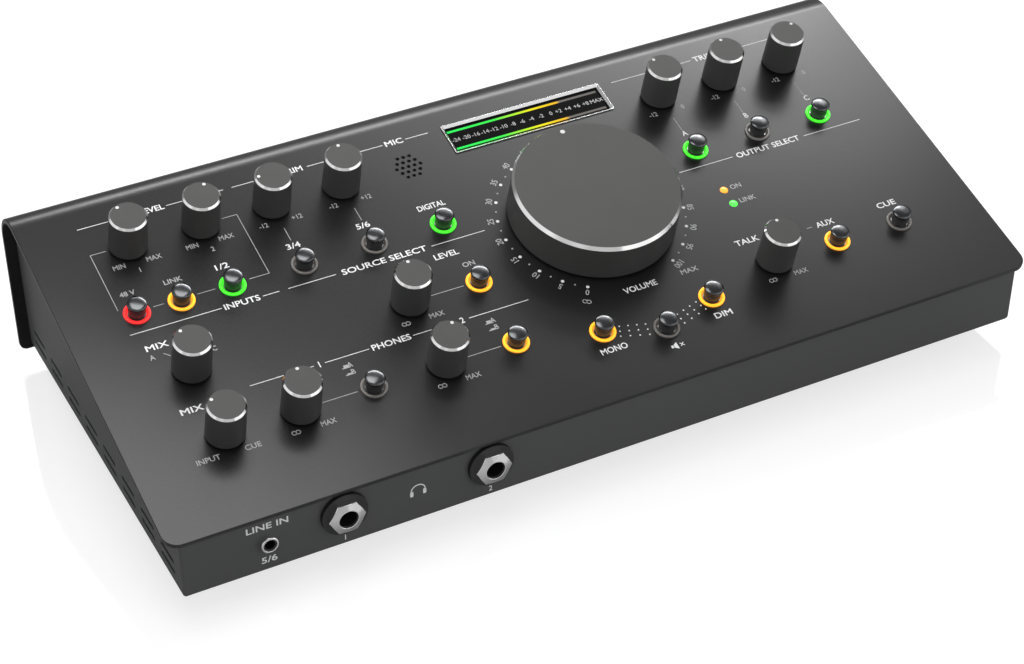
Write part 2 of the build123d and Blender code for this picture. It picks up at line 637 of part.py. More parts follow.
def nut(face):
    """Hexagonal cap nut: a conical front that closes over the end of the bushing."""
    corner = NUT_FLATS / 2 / cos(radians(30))
    thread = JACK_BUSHING_RADIUS + NUT_THREAD_CLEARANCE
    blank = turned(face, [(thread, 0), (corner, 0), (corner, NUT_EDGE),
                          (NUT_CREST_RADIUS, NUT_THICKNESS), (NUT_LIP_RADIUS, NUT_THICKNESS),
                          (NUT_LIP_RADIUS, NUT_THICKNESS - NUT_LIP),
                          (thread, NUT_THICKNESS - NUT_LIP)])
    with BuildPart() as hexagon:
        add(blank)
        with BuildSketch(face):
            RegularPolygon(corner, 6)
        extrude(amount=NUT_THICKNESS, mode=Mode.INTERSECT)
    return hexagon.part


def jack(face, shoulder):
    """6.35 mm socket behind a wall. `face` is the nut's seat, `shoulder` what pokes through."""
    with BuildPart() as socket:
        with BuildSketch(face):
            Circle(JACK_SHOULDER_RADIUS if shoulder else JACK_BUSHING_RADIUS)
        extrude(amount=-shoulder if shoulder else -COVER_SHEET)
        depth = shoulder or COVER_SHEET
        with BuildSketch(face.offset(-depth)):
            Rectangle(JACK_BODY, JACK_BODY)
        extrude(amount=-JACK_LENGTH)
        with BuildSketch(face):
            Circle(JACK_BUSHING_RADIUS)
        extrude(amount=NUT_THICKNESS - NUT_LIP)
        with BuildSketch(face.offset(NUT_THICKNESS)):
            Circle(JACK_RADIUS)
        extrude(amount=-JACK_BORE_DEPTH - NUT_THICKNESS, mode=Mode.SUBTRACT)
    return socket.part


def seat(base, spot):
    """Plane like `base`, moved to a spot on it."""
    return Plane(base.from_local_coords((*spot, 0)), x_dir=base.x_dir, z_dir=base.z_dir)


front_seats = [seat(FRONT_FACE, spot) for spot in FRONT_JACKS]
rear_seats = [seat(REAR_FACE, spot) for spot in LINE_JACKS]
aux_seat = seat(FRONT_FACE.offset(-FRONT_OVERHANG), (column(-5), AUX_JACK_HEIGHT))
ring_nut = turned(aux_seat, [(AUX_BUSHING_RADIUS, 0), (AUX_RING_RADIUS, 0),
                             (AUX_RING_RADIUS, AUX_RING_PROUD - 0.3),
                             (AUX_RING_RADIUS - 0.3, AUX_RING_PROUD),
                             (AUX_MOUTH_RADIUS, AUX_RING_PROUD),
                             (AUX_MOUTH_RADIUS, AUX_RING_PROUD - 0.5),
                             (AUX_BUSHING_RADIUS, AUX_RING_PROUD - 0.5)])
save("phones_jacks", *[jack(face, FRONT_OVERHANG + CHASSIS_SHEET) for face in front_seats])
save("line_jacks", *[jack(face, 0) for face in rear_seats])
save("jack_nuts", *[nut(face) for face in front_seats + rear_seats], ring_nut)

with BuildPart() as aux_jack:
    with BuildSketch(aux_seat.offset(AUX_RING_PROUD - 0.5)):
        Circle(AUX_BUSHING_RADIUS - NUT_THREAD_CLEARANCE)
    extrude(amount=-CHASSIS_SHEET - AUX_RING_PROUD + 0.5)
    with BuildSketch(aux_seat.offset(-CHASSIS_SHEET)):
        Rectangle(2.6 * AUX_RING_RADIUS, 2.6 * AUX_RING_RADIUS)
    extrude(amount=-AUX_LENGTH)
    with BuildSketch(aux_seat.offset(AUX_RING_PROUD)):
        Circle(AUX_RADIUS)
    extrude(amount=-AUX_LENGTH, mode=Mode.SUBTRACT)
save("aux_jack", aux_jack.part)

with BuildPart() as combo_inputs:
    with BuildSketch(REAR_FACE):
        with Locations(*COMBOS):
            RectangleRounded(COMBO_FLANGE[0], COMBO_FLANGE[1], 2)
    extrude(amount=COMBO_FLANGE[2])
    with BuildSketch(REAR_FACE):
        with Locations(*COMBOS):
            Circle(COMBO_RADIUS)
    extrude(amount=-COVER_SHEET - JACK_LENGTH)
    with BuildSketch(REAR_FACE.offset(COMBO_FLANGE[2])):
        with Locations(*COMBOS):
            Circle(COMBO_GROOVE[0])
            Circle(COMBO_GROOVE[1], mode=Mode.SUBTRACT)
    extrude(amount=-COMBO_GROOVE[2], mode=Mode.SUBTRACT)
    with BuildSketch(REAR_FACE.offset(COMBO_FLANGE[2])):
        with Locations(*COMBOS):
            Circle(JACK_RADIUS)
    extrude(amount=-JACK_BORE_DEPTH, mode=Mode.SUBTRACT)
save("combo_inputs", combo_inputs.part)

with BuildPart() as usb_socket:
    with BuildSketch(REAR_FACE.offset(NUT_THICKNESS / 3)):
        with Locations(USB_SPOT):
            Rectangle(*USB_SIZE)
    extrude(amount=-USB_DEPTH)
    with BuildSketch(REAR_FACE.offset(NUT_THICKNESS / 3)):
        with Locations(USB_SPOT):
            Rectangle(USB_SIZE[0] - 2 * USB_SHELL - 2.2, USB_SIZE[1] - 2 * USB_SHELL - 2)
            Rectangle(*USB_TONGUE, mode=Mode.SUBTRACT)
    extrude(amount=-USB_DEPTH * 0.6, mode=Mode.SUBTRACT)
save("usb_socket", usb_socket.part)

dc_seat = seat(REAR_FACE, DC_SPOT)
with BuildPart() as dc_inlet:
    with BuildSketch(dc_seat.offset(NUT_THICKNESS / 3)):
        Circle(DC_RADIUS)
    extrude(amount=-DC_DEPTH)
    with BuildSketch(dc_seat.offset(NUT_THICKNESS / 3)):
        Circle(DC_MOUTH_RADIUS)
        Circle(DC_PIN_RADIUS, mode=Mode.SUBTRACT)
    extrude(amount=-DC_DEPTH * 0.75, mode=Mode.SUBTRACT)
save("dc_inlet", dc_inlet.part)

power_seat = seat(REAR_FACE, POWER_SPOT)
with BuildPart() as power_switch:
    with BuildSketch(power_seat.offset(NUT_THICKNESS / 3)):
        Circle(POWER_COLLAR)
    extrude(amount=-COVER_SHEET - NUT_THICKNESS / 3)
    with BuildSketch(power_seat.offset(-COVER_SHEET)):
        Rectangle(2 * POWER_COLLAR, 2 * POWER_COLLAR)
    extrude(amount=-DC_DEPTH)
    with BuildSketch(power_seat.offset(NUT_THICKNESS / 3)):
        Circle(POWER_RADIUS + SLEEVE_CLEARANCE)
    extrude(amount=-DC_DEPTH * 0.75, mode=Mode.SUBTRACT)
save("power_switch", power_switch.part)

with BuildPart() as power_button:
    with BuildSketch(power_seat.offset(POWER_PROUD)):
        Circle(POWER_RADIUS)
    extrude(amount=-DC_DEPTH * 0.75 + NUT_THICKNESS / 3 - POWER_PROUD + POWER_TRAVEL + 2 * FIT)
    chamfer(power_button.edges().filter_by(GeomType.CIRCLE).sort_by(Axis.Y)[-1], 0.5)
save("power_button", power_button.part)


# ---------------------------------------------------------------- knobs and keys

def knob(spot, pointer, radius, height, bevel, roof, wall, hub, dot, dot_inset):
    """One knob with its shaft, which runs down to the potentiometer.

    The hollow skirt tapers a little and stands KNOB_GAP above the panel. Its top has a
    bevelled edge and a dimple in the direction of `pointer`.
    """
    top = KNOB_GAP + height
    hollow = top - roof
    foot = radius + KNOB_TAPER
    body = turned(spot, [(0, SHAFT_FOOT), (SHAFT_RADIUS, SHAFT_FOOT), (SHAFT_RADIUS, KNOB_GAP),
                         (hub, KNOB_GAP), (hub, hollow), (radius - wall, hollow),
                         (foot - wall, KNOB_GAP), (foot, KNOB_GAP), (radius, top - bevel),
                         (radius - bevel, top), (0, top)])
    with BuildPart() as dimpled:
        add(body)
        with BuildSketch(Plane(spot.origin + spot.z_dir * top, spot.x_dir, spot.z_dir)):
            with PolarLocations(radius - bevel - dot_inset, 1, start_angle=pointer):
                Circle(dot)
        extrude(amount=-POINTER_DEPTH, mode=Mode.SUBTRACT)
    return dimpled.part


for name, (u, v, pointer) in KNOBS.items():
    save(name, knob(on_panel(u, v), pointer, KNOB_RADIUS, KNOB_HEIGHT, KNOB_BEVEL, KNOB_ROOF,
                    KNOB_WALL, KNOB_HUB_RADIUS, POINTER_RADIUS, POINTER_INSET))

save("volume_knob", knob(on_panel(*VOLUME_AT), 90, VOLUME_KNOB_RADIUS, VOLUME_KNOB_HEIGHT,
                         VOLUME_KNOB_BEVEL, VOLUME_KNOB_ROOF, VOLUME_WALL, VOLUME_HUB_RADIUS,
                         VOLUME_POINTER_RADIUS, VOLUME_POINTER_INSET))

for name, (u, v, _) in KEYS.items():
    rim = KEY_PROUD - KEY_CAP_DOME
    under = KEY_PROUD - KEY_CAP_THICKNESS
    save(name, turned(on_panel(u, v), [
        (0, SHAFT_FOOT), (KEY_GUIDE_RADIUS, SHAFT_FOOT), (KEY_GUIDE_RADIUS, -KEY_TRAVEL),
        (KEY_STEM_RADIUS, -KEY_TRAVEL), (KEY_STEM_RADIUS, under),
        (KEY_CAP_RADIUS - KEY_CAP_UNDERCUT, under), (KEY_CAP_RADIUS, under + KEY_CAP_UNDERCUT),
        (KEY_CAP_RADIUS, rim), (KEY_CAP_RADIUS * 0.7, KEY_PROUD - 0.3 * KEY_CAP_DOME),
        (0, KEY_PROUD)]))
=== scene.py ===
"""Looks of a desktop studio monitor controller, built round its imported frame.

The console's sloping panel has its own axes: u runs to the right, v climbs the slope from
the front edge and h leaves the panel. Sizes on the panel are in millimetres and turn into
the frame's metres when a mesh is placed.
"""

import json
import logging
import math
from dataclasses import dataclass, field, replace
from enum import Enum

import bmesh
import bpy
import numpy as np
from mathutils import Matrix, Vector


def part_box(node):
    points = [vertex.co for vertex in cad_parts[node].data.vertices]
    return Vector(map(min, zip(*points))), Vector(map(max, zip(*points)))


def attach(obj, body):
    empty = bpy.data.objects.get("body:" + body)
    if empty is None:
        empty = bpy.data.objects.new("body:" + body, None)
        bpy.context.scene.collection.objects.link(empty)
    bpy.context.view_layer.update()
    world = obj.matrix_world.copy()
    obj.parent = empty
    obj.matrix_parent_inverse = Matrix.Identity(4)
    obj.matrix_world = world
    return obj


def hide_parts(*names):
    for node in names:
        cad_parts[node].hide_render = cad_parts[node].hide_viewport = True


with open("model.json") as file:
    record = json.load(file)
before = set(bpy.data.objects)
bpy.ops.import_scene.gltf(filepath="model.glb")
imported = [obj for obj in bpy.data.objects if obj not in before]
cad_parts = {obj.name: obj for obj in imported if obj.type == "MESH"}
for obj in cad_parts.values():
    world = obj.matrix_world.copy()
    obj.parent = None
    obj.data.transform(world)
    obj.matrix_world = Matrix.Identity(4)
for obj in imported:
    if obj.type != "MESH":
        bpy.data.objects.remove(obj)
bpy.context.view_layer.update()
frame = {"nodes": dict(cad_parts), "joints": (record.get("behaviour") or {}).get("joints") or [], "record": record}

LOG = logging.getLogger("monitor_controller")
Pair = tuple[float, float]
Triple = tuple[float, float, float]


# ---------------------------------------------------------------- places


MM = 0.001                          # metres in a millimetre
OVERHANG = 1.5                      # cover beyond the front wall
VOLUME_AT = (26.8, 77.8)            # middle of the volume knob, as (u, v)
METER_AT = (27.0, 128.36)           # middle of the level meter
WINDOW_TOP = -0.8                   # face of the meter's window, above the panel
FIRST_COLUMN = 25.0                 # u of the innermost column of controls
COLUMN_PITCH = 26.6                 # from one column to the next
ROWS = (35.0, 63.75, 92.5, 121.25)  # v of the rows of controls, from the front


@dataclass(frozen=True)
class Spot:
    """A place with its own axes, in the frame's metres.

    Attributes:
        origin: The place.
        across: Direction of local x.
        along: Direction of local y.
        out: Direction of local z.
    """

    origin: np.ndarray
    across: np.ndarray
    along: np.ndarray
    out: np.ndarray

    def place(self, points: np.ndarray) -> np.ndarray:
        """Turn local points in millimetres into the frame's metres.

        Args:
            points: Array whose last axis is (x, y, z).

        Returns:
            Array of the same shape: origin plus each coordinate times its axis.
        """
        axes = np.stack([self.across, self.along, self.out])
        return self.origin + (np.asarray(points, float) * MM) @ axes

    def at(self, x: float, y: float, z: float = 0.0) -> "Spot":
        """The same axes at another local place, given in millimetres."""
        return Spot(self.place(np.array([x, y, z])), self.across, self.along, self.out)


def panel_spot() -> Spot:
    """Axes of the sloping panel, read from the volume knob's hinge.

    Returns:
        The spot at the middle of the panel's front edge.
    """
    hinge = next(j for j in frame["joints"] if j["name"] == "volume_turn")
    out = np.array(hinge["axis"], float)
    across = np.array([1.0, 0.0, 0.0])
    along = np.cross(out, across)
    centre = np.array(hinge["pos_m"], float)
    u, v = VOLUME_AT
    return Spot(centre - across * u * MM - along * v * MM, across, along, out)


def wall_spot(outward: int) -> Spot:
    """Axes of the front or the rear wall, at the underside of the case.

    Args:
        outward: -1 for the front wall, 1 for the rear wall.

    Returns:
        A spot whose local x runs to the right as seen from outside and whose y climbs.
    """
    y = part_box("top_cover")[1].y if outward > 0 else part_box("chassis")[0].y - OVERHANG * MM
    return Spot(
        np.array([0.0, y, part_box("bottom_plate")[0].z]),
        np.array([-float(outward), 0.0, 0.0]),
        np.array([0.0, 0.0, 1.0]),
        np.array([0.0, float(outward), 0.0]),
    )


def column(number: int) -> float:
    """Panel u of a column, counted outwards from the middle: -1 and 1 are innermost."""
    reach = FIRST_COLUMN + (abs(number) - 1) * COLUMN_PITCH
    return reach if number > 0 else -reach


# ---------------------------------------------------------------- meshes


@dataclass
class Mesh:
    """Surfaces gathered for one piece.

    Attributes:
        points: Vertices of each surface, in metres.
        faces: Faces of each surface, as indices into all vertices.
        slots: Index of the material of each face.
        count: Vertices so far.
    """

    points: list[np.ndarray] = field(default_factory=list)
    faces: list[np.ndarray] = field(default_factory=list)
    slots: list[np.ndarray] = field(default_factory=list)
    count: int = 0

    def add(self, points: np.ndarray, faces: np.ndarray, slot: int = 0) -> None:
        """Add a surface.

        Args:
            points: Array (n, 3) in metres.
            faces: Array (m, 3) or (m, 4) of indices into points.
            slot: Index of the material.
        """
        points = np.asarray(points, float).reshape(-1, 3)
        self.points.append(points)
        self.faces.append(np.asarray(faces, int) + self.count)
        self.slots.append(np.full(len(faces), slot))
        self.count += len(points)

    def grid(self, points: np.ndarray, slot: int = 0, wrap: bool = False) -> None:
        """Add a grid of points as quads.

        Args:
            points: Array (rows, columns, 3) in metres.
            slot: Index of the material.
            wrap: Whether the last column joins the first.
        """
        rows, columns = points.shape[:2]
        index = np.arange(rows * columns).reshape(rows, columns)
        if wrap:
            index = np.concatenate([index, index[:, :1]], axis=1)
        quads = np.stack([index[:-1, :-1], index[:-1, 1:], index[1:, 1:], index[1:, :-1]], -1)
        self.add(points.reshape(-1, 3), quads.reshape(-1, 4), slot)

    def piece(
        self, name: str, finishes: list["Finish"], body: str = "console", sharp: float = 35.0
    ) -> bpy.types.Object:
        """Make the object: doubles merged, normals outwards, smooth but for sharp edges.

        Args:
            name: Name of the piece.
            finishes: Finishes, by slot.
            body: CAD body that it rides on.
            sharp: Angle in degrees past which an edge stays sharp.

        Returns:
            The object, at the origin with its place in its mesh.
        """
        mesh = bpy.data.meshes.new(name)
        faces = [face for group in self.faces for face in group.tolist()]
        mesh.from_pydata(np.concatenate(self.points), [], faces)
        mesh.polygons.foreach_set("material_index", np.concatenate(self.slots).astype(np.int32))
        work = bmesh.new()
        work.from_mesh(mesh)
        bmesh.ops.remove_doubles(work, verts=work.verts, dist=1e-7)
        bmesh.ops.recalc_face_normals(work, faces=work.faces)
        work.to_mesh(mesh)
        work.free()
        soften(mesh, sharp)
        for finish in finishes:
            mesh.materials.append(finish.material)
        piece = bpy.data.objects.new(name, mesh)
        bpy.context.scene.collection.objects.link(piece)
        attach(piece, body)
        return piece

    def look(
        self,
        node: str,
        finishes: list["Finish"],
        body: str = "console",
        sharp: float = 35.0,
    ) -> bpy.types.Object:
        """Make the piece that stands for a CAD node and is named after it.

        Args:
            node: The node.
            finishes: Finishes, by slot.
            body: CAD body that it rides on.
            sharp: Angle in degrees past which an edge stays sharp.

        Returns:
            The object.
        """
        piece = self.piece(node + "_look", finishes, body, sharp)
        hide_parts(node)
        return piece


def fetch(rows: bpy.types.bpy_prop_collection, name: str, width: int = 1, kind: type = float) -> np.ndarray:
    """Read a property of all rows of a mesh's collection at once.

    Args:
        rows: The collection, such as a mesh's polygons.
        name: The property.
        width: How many numbers it has.
        kind: Type of its numbers.

    Returns:
        Array (n,), or (n, width) where it has several.
    """
    numbers = np.empty(len(rows) * width, kind)
    rows.foreach_get(name, numbers)
    return numbers.reshape(-1, width) if width > 1 else numbers


def soften(mesh: bpy.types.Mesh, limit: float) -> None:
    """Set corner normals so that flats shade flat and curved faces run smoothly.

    A corner's normal is the sum of the normals of the faces that meet at its vertex and lean
    less than the limit from its own face. Each counts with the square of the whole area that
    lies in its plane, so a wide flat wins over the narrow facets of a bend beside it.

    Args:
        mesh: The mesh.
        limit: Angle in degrees past which an edge stays sharp.
    """
    faces, loops = mesh.polygons, len(mesh.loops)
    faces.foreach_set("use_smooth", np.ones(len(faces), bool))
    normal, centre = fetch(faces, "normal", 3), fetch(faces, "center", 3)
    area, sizes = fetch(faces, "area"), fetch(faces, "loop_total", kind=np.int32)
    vertex = fetch(mesh.loops, "vertex_index", kind=np.int32)
    # Faces in one plane share their rounded normal and distance; adding 0 turns -0 into 0.
    plane = np.column_stack([np.round(normal, 3), np.round((normal * centre).sum(axis=1), 5)]) + 0.0
    group = np.unique(plane, axis=0, return_inverse=True)[1].ravel()
    weight = np.bincount(group, area)[group] ** 2
    face = np.repeat(np.arange(len(faces)), sizes)
    # Each corner is paired with every corner at its vertex, itself included.
    order = np.argsort(vertex, kind="stable")
    count = np.bincount(vertex, minlength=len(mesh.vertices))
    first = np.cumsum(count) - count
    many = count[vertex]
    here = np.repeat(np.arange(loops), many)
    step = np.arange(many.sum()) - np.repeat(np.cumsum(many) - many, many)
    there = order[first[vertex[here]] + step]
    near = (normal[face[here]] * normal[face[there]]).sum(axis=1) > math.cos(math.radians(limit))
    here, there = here[near], face[there[near]]
    total = np.column_stack(
        [np.bincount(here, weight[there] * normal[there, axis], loops) for axis in range(3)]
    )
    length = np.linalg.norm(total, axis=1, keepdims=True)
    total = np.where(length > 0, total / np.maximum(length, 1e-300), normal[face])
    mesh.normals_split_custom_set(total.tolist())


NEARLY_STRAIGHT = math.radians(89.5)  # half a corner's angle past which it stays sharp


def rounded(corners: list[tuple], steps: int = 5) -> np.ndarray:
    """Profile through corners, each with its own radius.

    A corner is (x, y, radius). An arc of that radius, tangent to both sides, replaces it:
    its ends lie radius / tan(half the angle) from the corner, and its points turn evenly
    about a centre on the bisector.

    Args:
        corners: Corners in order. The first and last stay as they are.
        steps: Points on each arc.

    Returns:
        Array (n, 2).
    """
    points = [np.array(corners[0][:2], float)]
    for before, here, after in zip(corners, corners[1:], corners[2:]):
        p = np.array(here[:2], float)
        a = np.array(before[:2], float) - p
        b = np.array(after[:2], float) - p
        a, b = a / np.linalg.norm(a), b / np.linalg.norm(b)
        radius = here[2] if len(here) > 2 else 0.0
        half = math.acos(float(np.clip(a @ b, -1, 1))) / 2
        if radius <= 0 or half > NEARLY_STRAIGHT:
            points.append(p)
            continue
        centre = p + (a + b) / np.linalg.norm(a + b) * radius / math.sin(half)
        start = p + a * radius / math.tan(half) - centre
        end = p + b * radius / math.tan(half) - centre
        turn = math.pi - 2 * half
        side = math.copysign(1.0, start[0] * end[1] - start[1] * end[0])
        angles = side * turn * np.linspace(0, 1, steps)
        cos, sin = np.cos(angles), np.sin(angles)
        arc = np.stack([start[0] * cos - start[1] * sin, start[0] * sin + start[1] * cos], -1)
        points.extend(centre + arc)
    points.append(np.array(corners[-1][:2], float))
    return np.array(points)


def turned(mesh: Mesh, spot: Spot, profile: np.ndarray, slot: int = 0, steps: int = 96) -> None:
    """Add a surface of revolution about the spot's axis.

    A point at angle a and profile place (r, h) is (r cos a, r sin a, h).

    Args:
        mesh: Mesh that takes it.
        spot: Place and axis.
        profile: Array (n, 2) of radius and height in millimetres.
        slot: Index of the material.
        steps: Points round the axis.
    """
    angle = np.linspace(0, 2 * math.pi, steps, endpoint=False)
    radius, height = profile[:, :1], profile[:, 1:]
    grid = np.stack(
        [radius * np.cos(angle), radius * np.sin(angle), np.broadcast_to(height, (len(profile), steps))],
        axis=-1,
    )
    mesh.grid(spot.place(grid), slot, wrap=True)


def slab(mesh: Mesh, spot: Spot, outline: np.ndarray, low: float, high: float, slot: int = 0) -> None:
    """Add a closed prism over a convex outline.

    The outline is swept from height low to height high, and both ends fan out from its centre.

    Args:
        mesh: Mesh that takes it.
        spot: Place and axes.
        outline: Array (n, 2) in millimetres, in order.
        low: Lower height.
        high: Upper height.
        slot: Index of the material.
    """
    centre = outline.mean(axis=0)
    rings = [(centre, low), (outline, low), (outline, high), (centre, high)]
    rows = [
        np.column_stack([np.broadcast_to(ring, outline.shape), np.full(len(outline), height)])
        for ring, height in rings
    ]
    mesh.grid(spot.place(np.array(rows)), slot, wrap=True)


def toward(degrees: float) -> np.ndarray:
    """Direction of an angle: (cos a, sin a)."""
    return np.array([math.cos(math.radians(degrees)), math.sin(math.radians(degrees))])


def circle(x: float, y: float, radius: float, steps: int = 16) -> np.ndarray:
    """Outline of a circle: centre plus radius times (cos a, sin a)."""
    angle = np.linspace(0, 2 * math.pi, steps, endpoint=False)
    return np.stack([x + radius * np.cos(angle), y + radius * np.sin(angle)], axis=-1)


def rectangle(x0: float, y0: float, x1: float, y1: float, radius: float = 0.0) -> np.ndarray:
    """Outline of a rectangle with rounded corners: quarter turns about four inset centres.

    Args:
        x0: Left side.
        y0: Lower side.
        x1: Right side.
        y1: Upper side.
        radius: Radius of the corners.

    Returns:
        Array (n, 2), in order.
    """
    if radius <= 0:
        return np.array([[x0, y0], [x1, y0], [x1, y1], [x0, y1]], float)
    quarter = np.linspace(0, math.pi / 2, 5)
    corners = ((x1, y1, 0), (x0, y1, 1), (x0, y0, 2), (x1, y0, 3))
    arcs = []
    for x, y, turn in corners:
        angle = quarter + turn * math.pi / 2
        cx = x - radius if x == x1 else x + radius
        cy = y - radius if y == y1 else y + radius
        arcs.append(np.stack([cx + radius * np.cos(angle), cy + radius * np.sin(angle)], -1))
    return np.concatenate(arcs)


# ---------------------------------------------------------------- shader maths


class Value:
    """A number that varies over a surface: a socket that Python's operators work on."""

    def __init__(self, graph: "Graph", socket: bpy.types.NodeSocket) -> None:
        """Wrap a socket of the graph."""
        self.graph = graph
        self.socket = socket

    def _math(self, operation: str, *operands: "Value | float") -> "Value":
        """Add a Math node.

        Args:
            operation: The node's operation.
            operands: Values or numbers, in the order of its sockets.

        Returns:
            Its result.
        """
        node = self.graph.node("ShaderNodeMath", {"operation": operation}, dict(enumerate(operands)))
        return Value(self.graph, node.outputs[0])

    def __add__(self, other: "Value | float") -> "Value":
        """Sum."""
        return self._math("ADD", self, other)

    def __sub__(self, other: "Value | float") -> "Value":
        """Difference."""
        return self._math("SUBTRACT", self, other)

    def __rsub__(self, other: float) -> "Value":
        """A number less this."""
        return self._math("SUBTRACT", other, self)

    def __mul__(self, other: "Value | float") -> "Value":
        """Product."""
        return self._math("MULTIPLY", self, other)

    def __abs__(self) -> "Value":
        """Size, without its sign."""
        return self._math("ABSOLUTE", self)

    __radd__ = __add__
    __rmul__ = __mul__

    def steps(self, low: float, high: float, smooth: bool = True) -> "Value":
        """Rise from 0 to 1 as this goes from low to high.

        Args:
            low: Where the rise starts.
            high: Where it ends.
            smooth: Whether it eases in and out.

        Returns:
            The rise, held between 0 and 1.
        """
        kind = "SMOOTHSTEP" if smooth else "LINEAR"
        node = self.graph.node(
            "ShaderNodeMapRange",
            {"interpolation_type": kind},
            {"Value": self, "From Min": low, "From Max": high},
        )
        return Value(self.graph, node.outputs["Result"])


class Graph:
    """The node tree of a material or a world, and the one method that adds a node to it."""

    def __init__(self, owner: bpy.types.Material | bpy.types.World) -> None:
        """Empty the owner's tree.

        Args:
            owner: The material or world.
        """
        self.owner = owner
        owner.use_nodes = True
        self.tree = owner.node_tree
        self.tree.nodes.clear()

    def node(self, kind: str, settings: dict | None = None, inputs: dict | None = None) -> bpy.types.Node:
        """Add a node.

        Args:
            kind: Its type.
            settings: Its own settings, set first. "stops" fills a colour ramp.
            inputs: What each socket gets, by name or number: a value, a socket or a constant.

        Returns:
            The node.
        """
        made = self.tree.nodes.new(kind)
        for key, setting in (settings or {}).items():
            if key == "stops":
                ramp = made.color_ramp.elements
                while len(ramp) < len(setting):
                    ramp.new(0.5)
                for stop, (place, colour) in zip(ramp, setting):
                    stop.position, stop.color = place, (*colour, 1.0)
            else:
                setattr(made, key, setting)
        for key, given in (inputs or {}).items():
            if isinstance(given, Value):
                given = given.socket
            if isinstance(given, bpy.types.NodeSocket):
                self.tree.links.new(given, made.inputs[key])
            else:
                made.inputs[key].default_value = given
        return made

    def place(self) -> bpy.types.NodeSocket:
        """Object coordinates: the frame's metres, because every piece sits at the origin."""
        return self.node("ShaderNodeTexCoord").outputs["Object"]

    def noise(self, scale: float, detail: float = 2.0, stretch: tuple = (1, 1, 1)) -> Value:
        """Noise between 0 and 1.

        Args:
            scale: Waves per metre.
            detail: Octaves.
            stretch: Factor on each coordinate.

        Returns:
            The noise.
        """
        place = self.node("ShaderNodeMapping", inputs={"Vector": self.place(), "Scale": stretch})
        made = self.node(
            "ShaderNodeTexNoise",
            inputs={"Vector": place.outputs[0], "Scale": scale, "Detail": detail},
        )
        return Value(self, made.outputs[0])

    def dot(self, vector: bpy.types.NodeSocket, direction: np.ndarray) -> Value:
        """Dot product of a vector socket and a constant direction.

        Args:
            vector: The socket.
            direction: The direction.

        Returns:
            The product.
        """
        node = self.node(
            "ShaderNodeVectorMath",
            {"operation": "DOT_PRODUCT"},
            {0: vector, 1: tuple(float(x) for x in direction)},
        )
        return Value(self, node.outputs["Value"])

    def along(self, direction: np.ndarray, start: np.ndarray) -> Value:
        """Distance in millimetres along a direction, past a point given in metres."""
        return (self.dot(self.place(), direction) - float(start @ direction)) * (1 / MM)

    def blend(self, factor: Value | float, first: object, second: object) -> bpy.types.NodeSocket:
        """Mix two colours.

        Args:
            factor: 0 gives the first, 1 the second.
            first: Triple or socket.
            second: Triple or socket.

        Returns:
            The mixed colour.
        """
        node = self.node("ShaderNodeMix", {"data_type": "RGBA"}, {"Factor": factor})
        for key, given in ((6, first), (7, second)):
            if isinstance(given, bpy.types.NodeSocket):
                self.tree.links.new(given, node.inputs[key])
            else:
                node.inputs[key].default_value = (*given, 1.0)
        return node.outputs[2]

    def bump(self, height: Value, depth: float) -> bpy.types.NodeSocket:
        """Bumps of a height field between 0 and 1, `depth` metres deep."""
        node = self.node("ShaderNodeBump", inputs={"Height": height, "Distance": depth})
        return node.outputs[0]

    def finish(self, **inputs: object) -> bpy.types.Material:
        """Close the material with a Principled shader.

        Args:
            inputs: Its sockets, with _ for a space. A three-number colour gets its alpha.

        Returns:
            The material.
        """
        named = {
            key.replace("_", " "): (*given, 1.0) if isinstance(given, tuple) else given
            for key, given in inputs.items()
        }
        shader = self.node("ShaderNodeBsdfPrincipled", inputs=named)
        self.node("ShaderNodeOutputMaterial", inputs={"Surface": shader.outputs[0]})
        return self.owner


# ---------------------------------------------------------------- finishes


def scaled(colour: Triple, factor: float, more: float = 0.0) -> Triple:
    """A colour times a factor, plus a trace of grey, held at 1."""
    return tuple(min(c * factor + more, 1.0) for c in colour)


def uneven(mean: float, shares: Pair, first: Value, second: Value) -> Value:
    """Roughness that two noises move about its mean.

    It is the sum of each noise times its share, less half of both shares, plus the mean.

    Args:
        mean: The mean.
        shares: Share of each noise.
        first: Noise between 0 and 1.
        second: Noise between 0 and 1.

    Returns:
        The roughness.
    """
    return first * shares[0] + second * shares[1] + (mean - sum(shares) / 2)


@dataclass(frozen=True)
class PowderCoat:
    """Baked paint on sheet metal: a fine grain and slow changes of tone.

    Attributes:
        name: Name of the material.
        colour: Its colour.
        roughness: Mean roughness.
        grain: Waves of the grain per metre.
        depth: Depth of the grain in metres.
        shine: Specular level.
        drift: Waves of the slow changes per metre.
        tones: Darkest and lightest tone, as factors on the colour.
        mix: Shares of grain and drift in the tone.
        gloss: Shares of grain and drift in the roughness.
    """

    name: str
    colour: Triple
    roughness: float = 0.42
    grain: float = 5200.0
    depth: float = 0.000004
    shine: float = 0.5
    drift: float = 9.0
    tones: Pair = (0.86, 1.14)
    mix: Pair = (0.6, 0.4)
    gloss: Pair = (0.12, 0.06)

    def material(self) -> bpy.types.Material:
        """Grain in the bump, and tone and gloss that drift with it.

        Returns:
            The material.
        """
        graph = Graph(bpy.data.materials.new(self.name))
        grain = graph.noise(self.grain, 3.0)
        drift = graph.noise(self.drift)
        dark, light = (scaled(self.colour, tone) for tone in self.tones)
        return graph.finish(
            Base_Color=graph.blend(grain * self.mix[0] + drift * self.mix[1], dark, light),
            Roughness=uneven(self.roughness, self.gloss, grain, drift),
            Specular_IOR_Level=self.shine,
            Normal=graph.bump(grain, self.depth),
        )


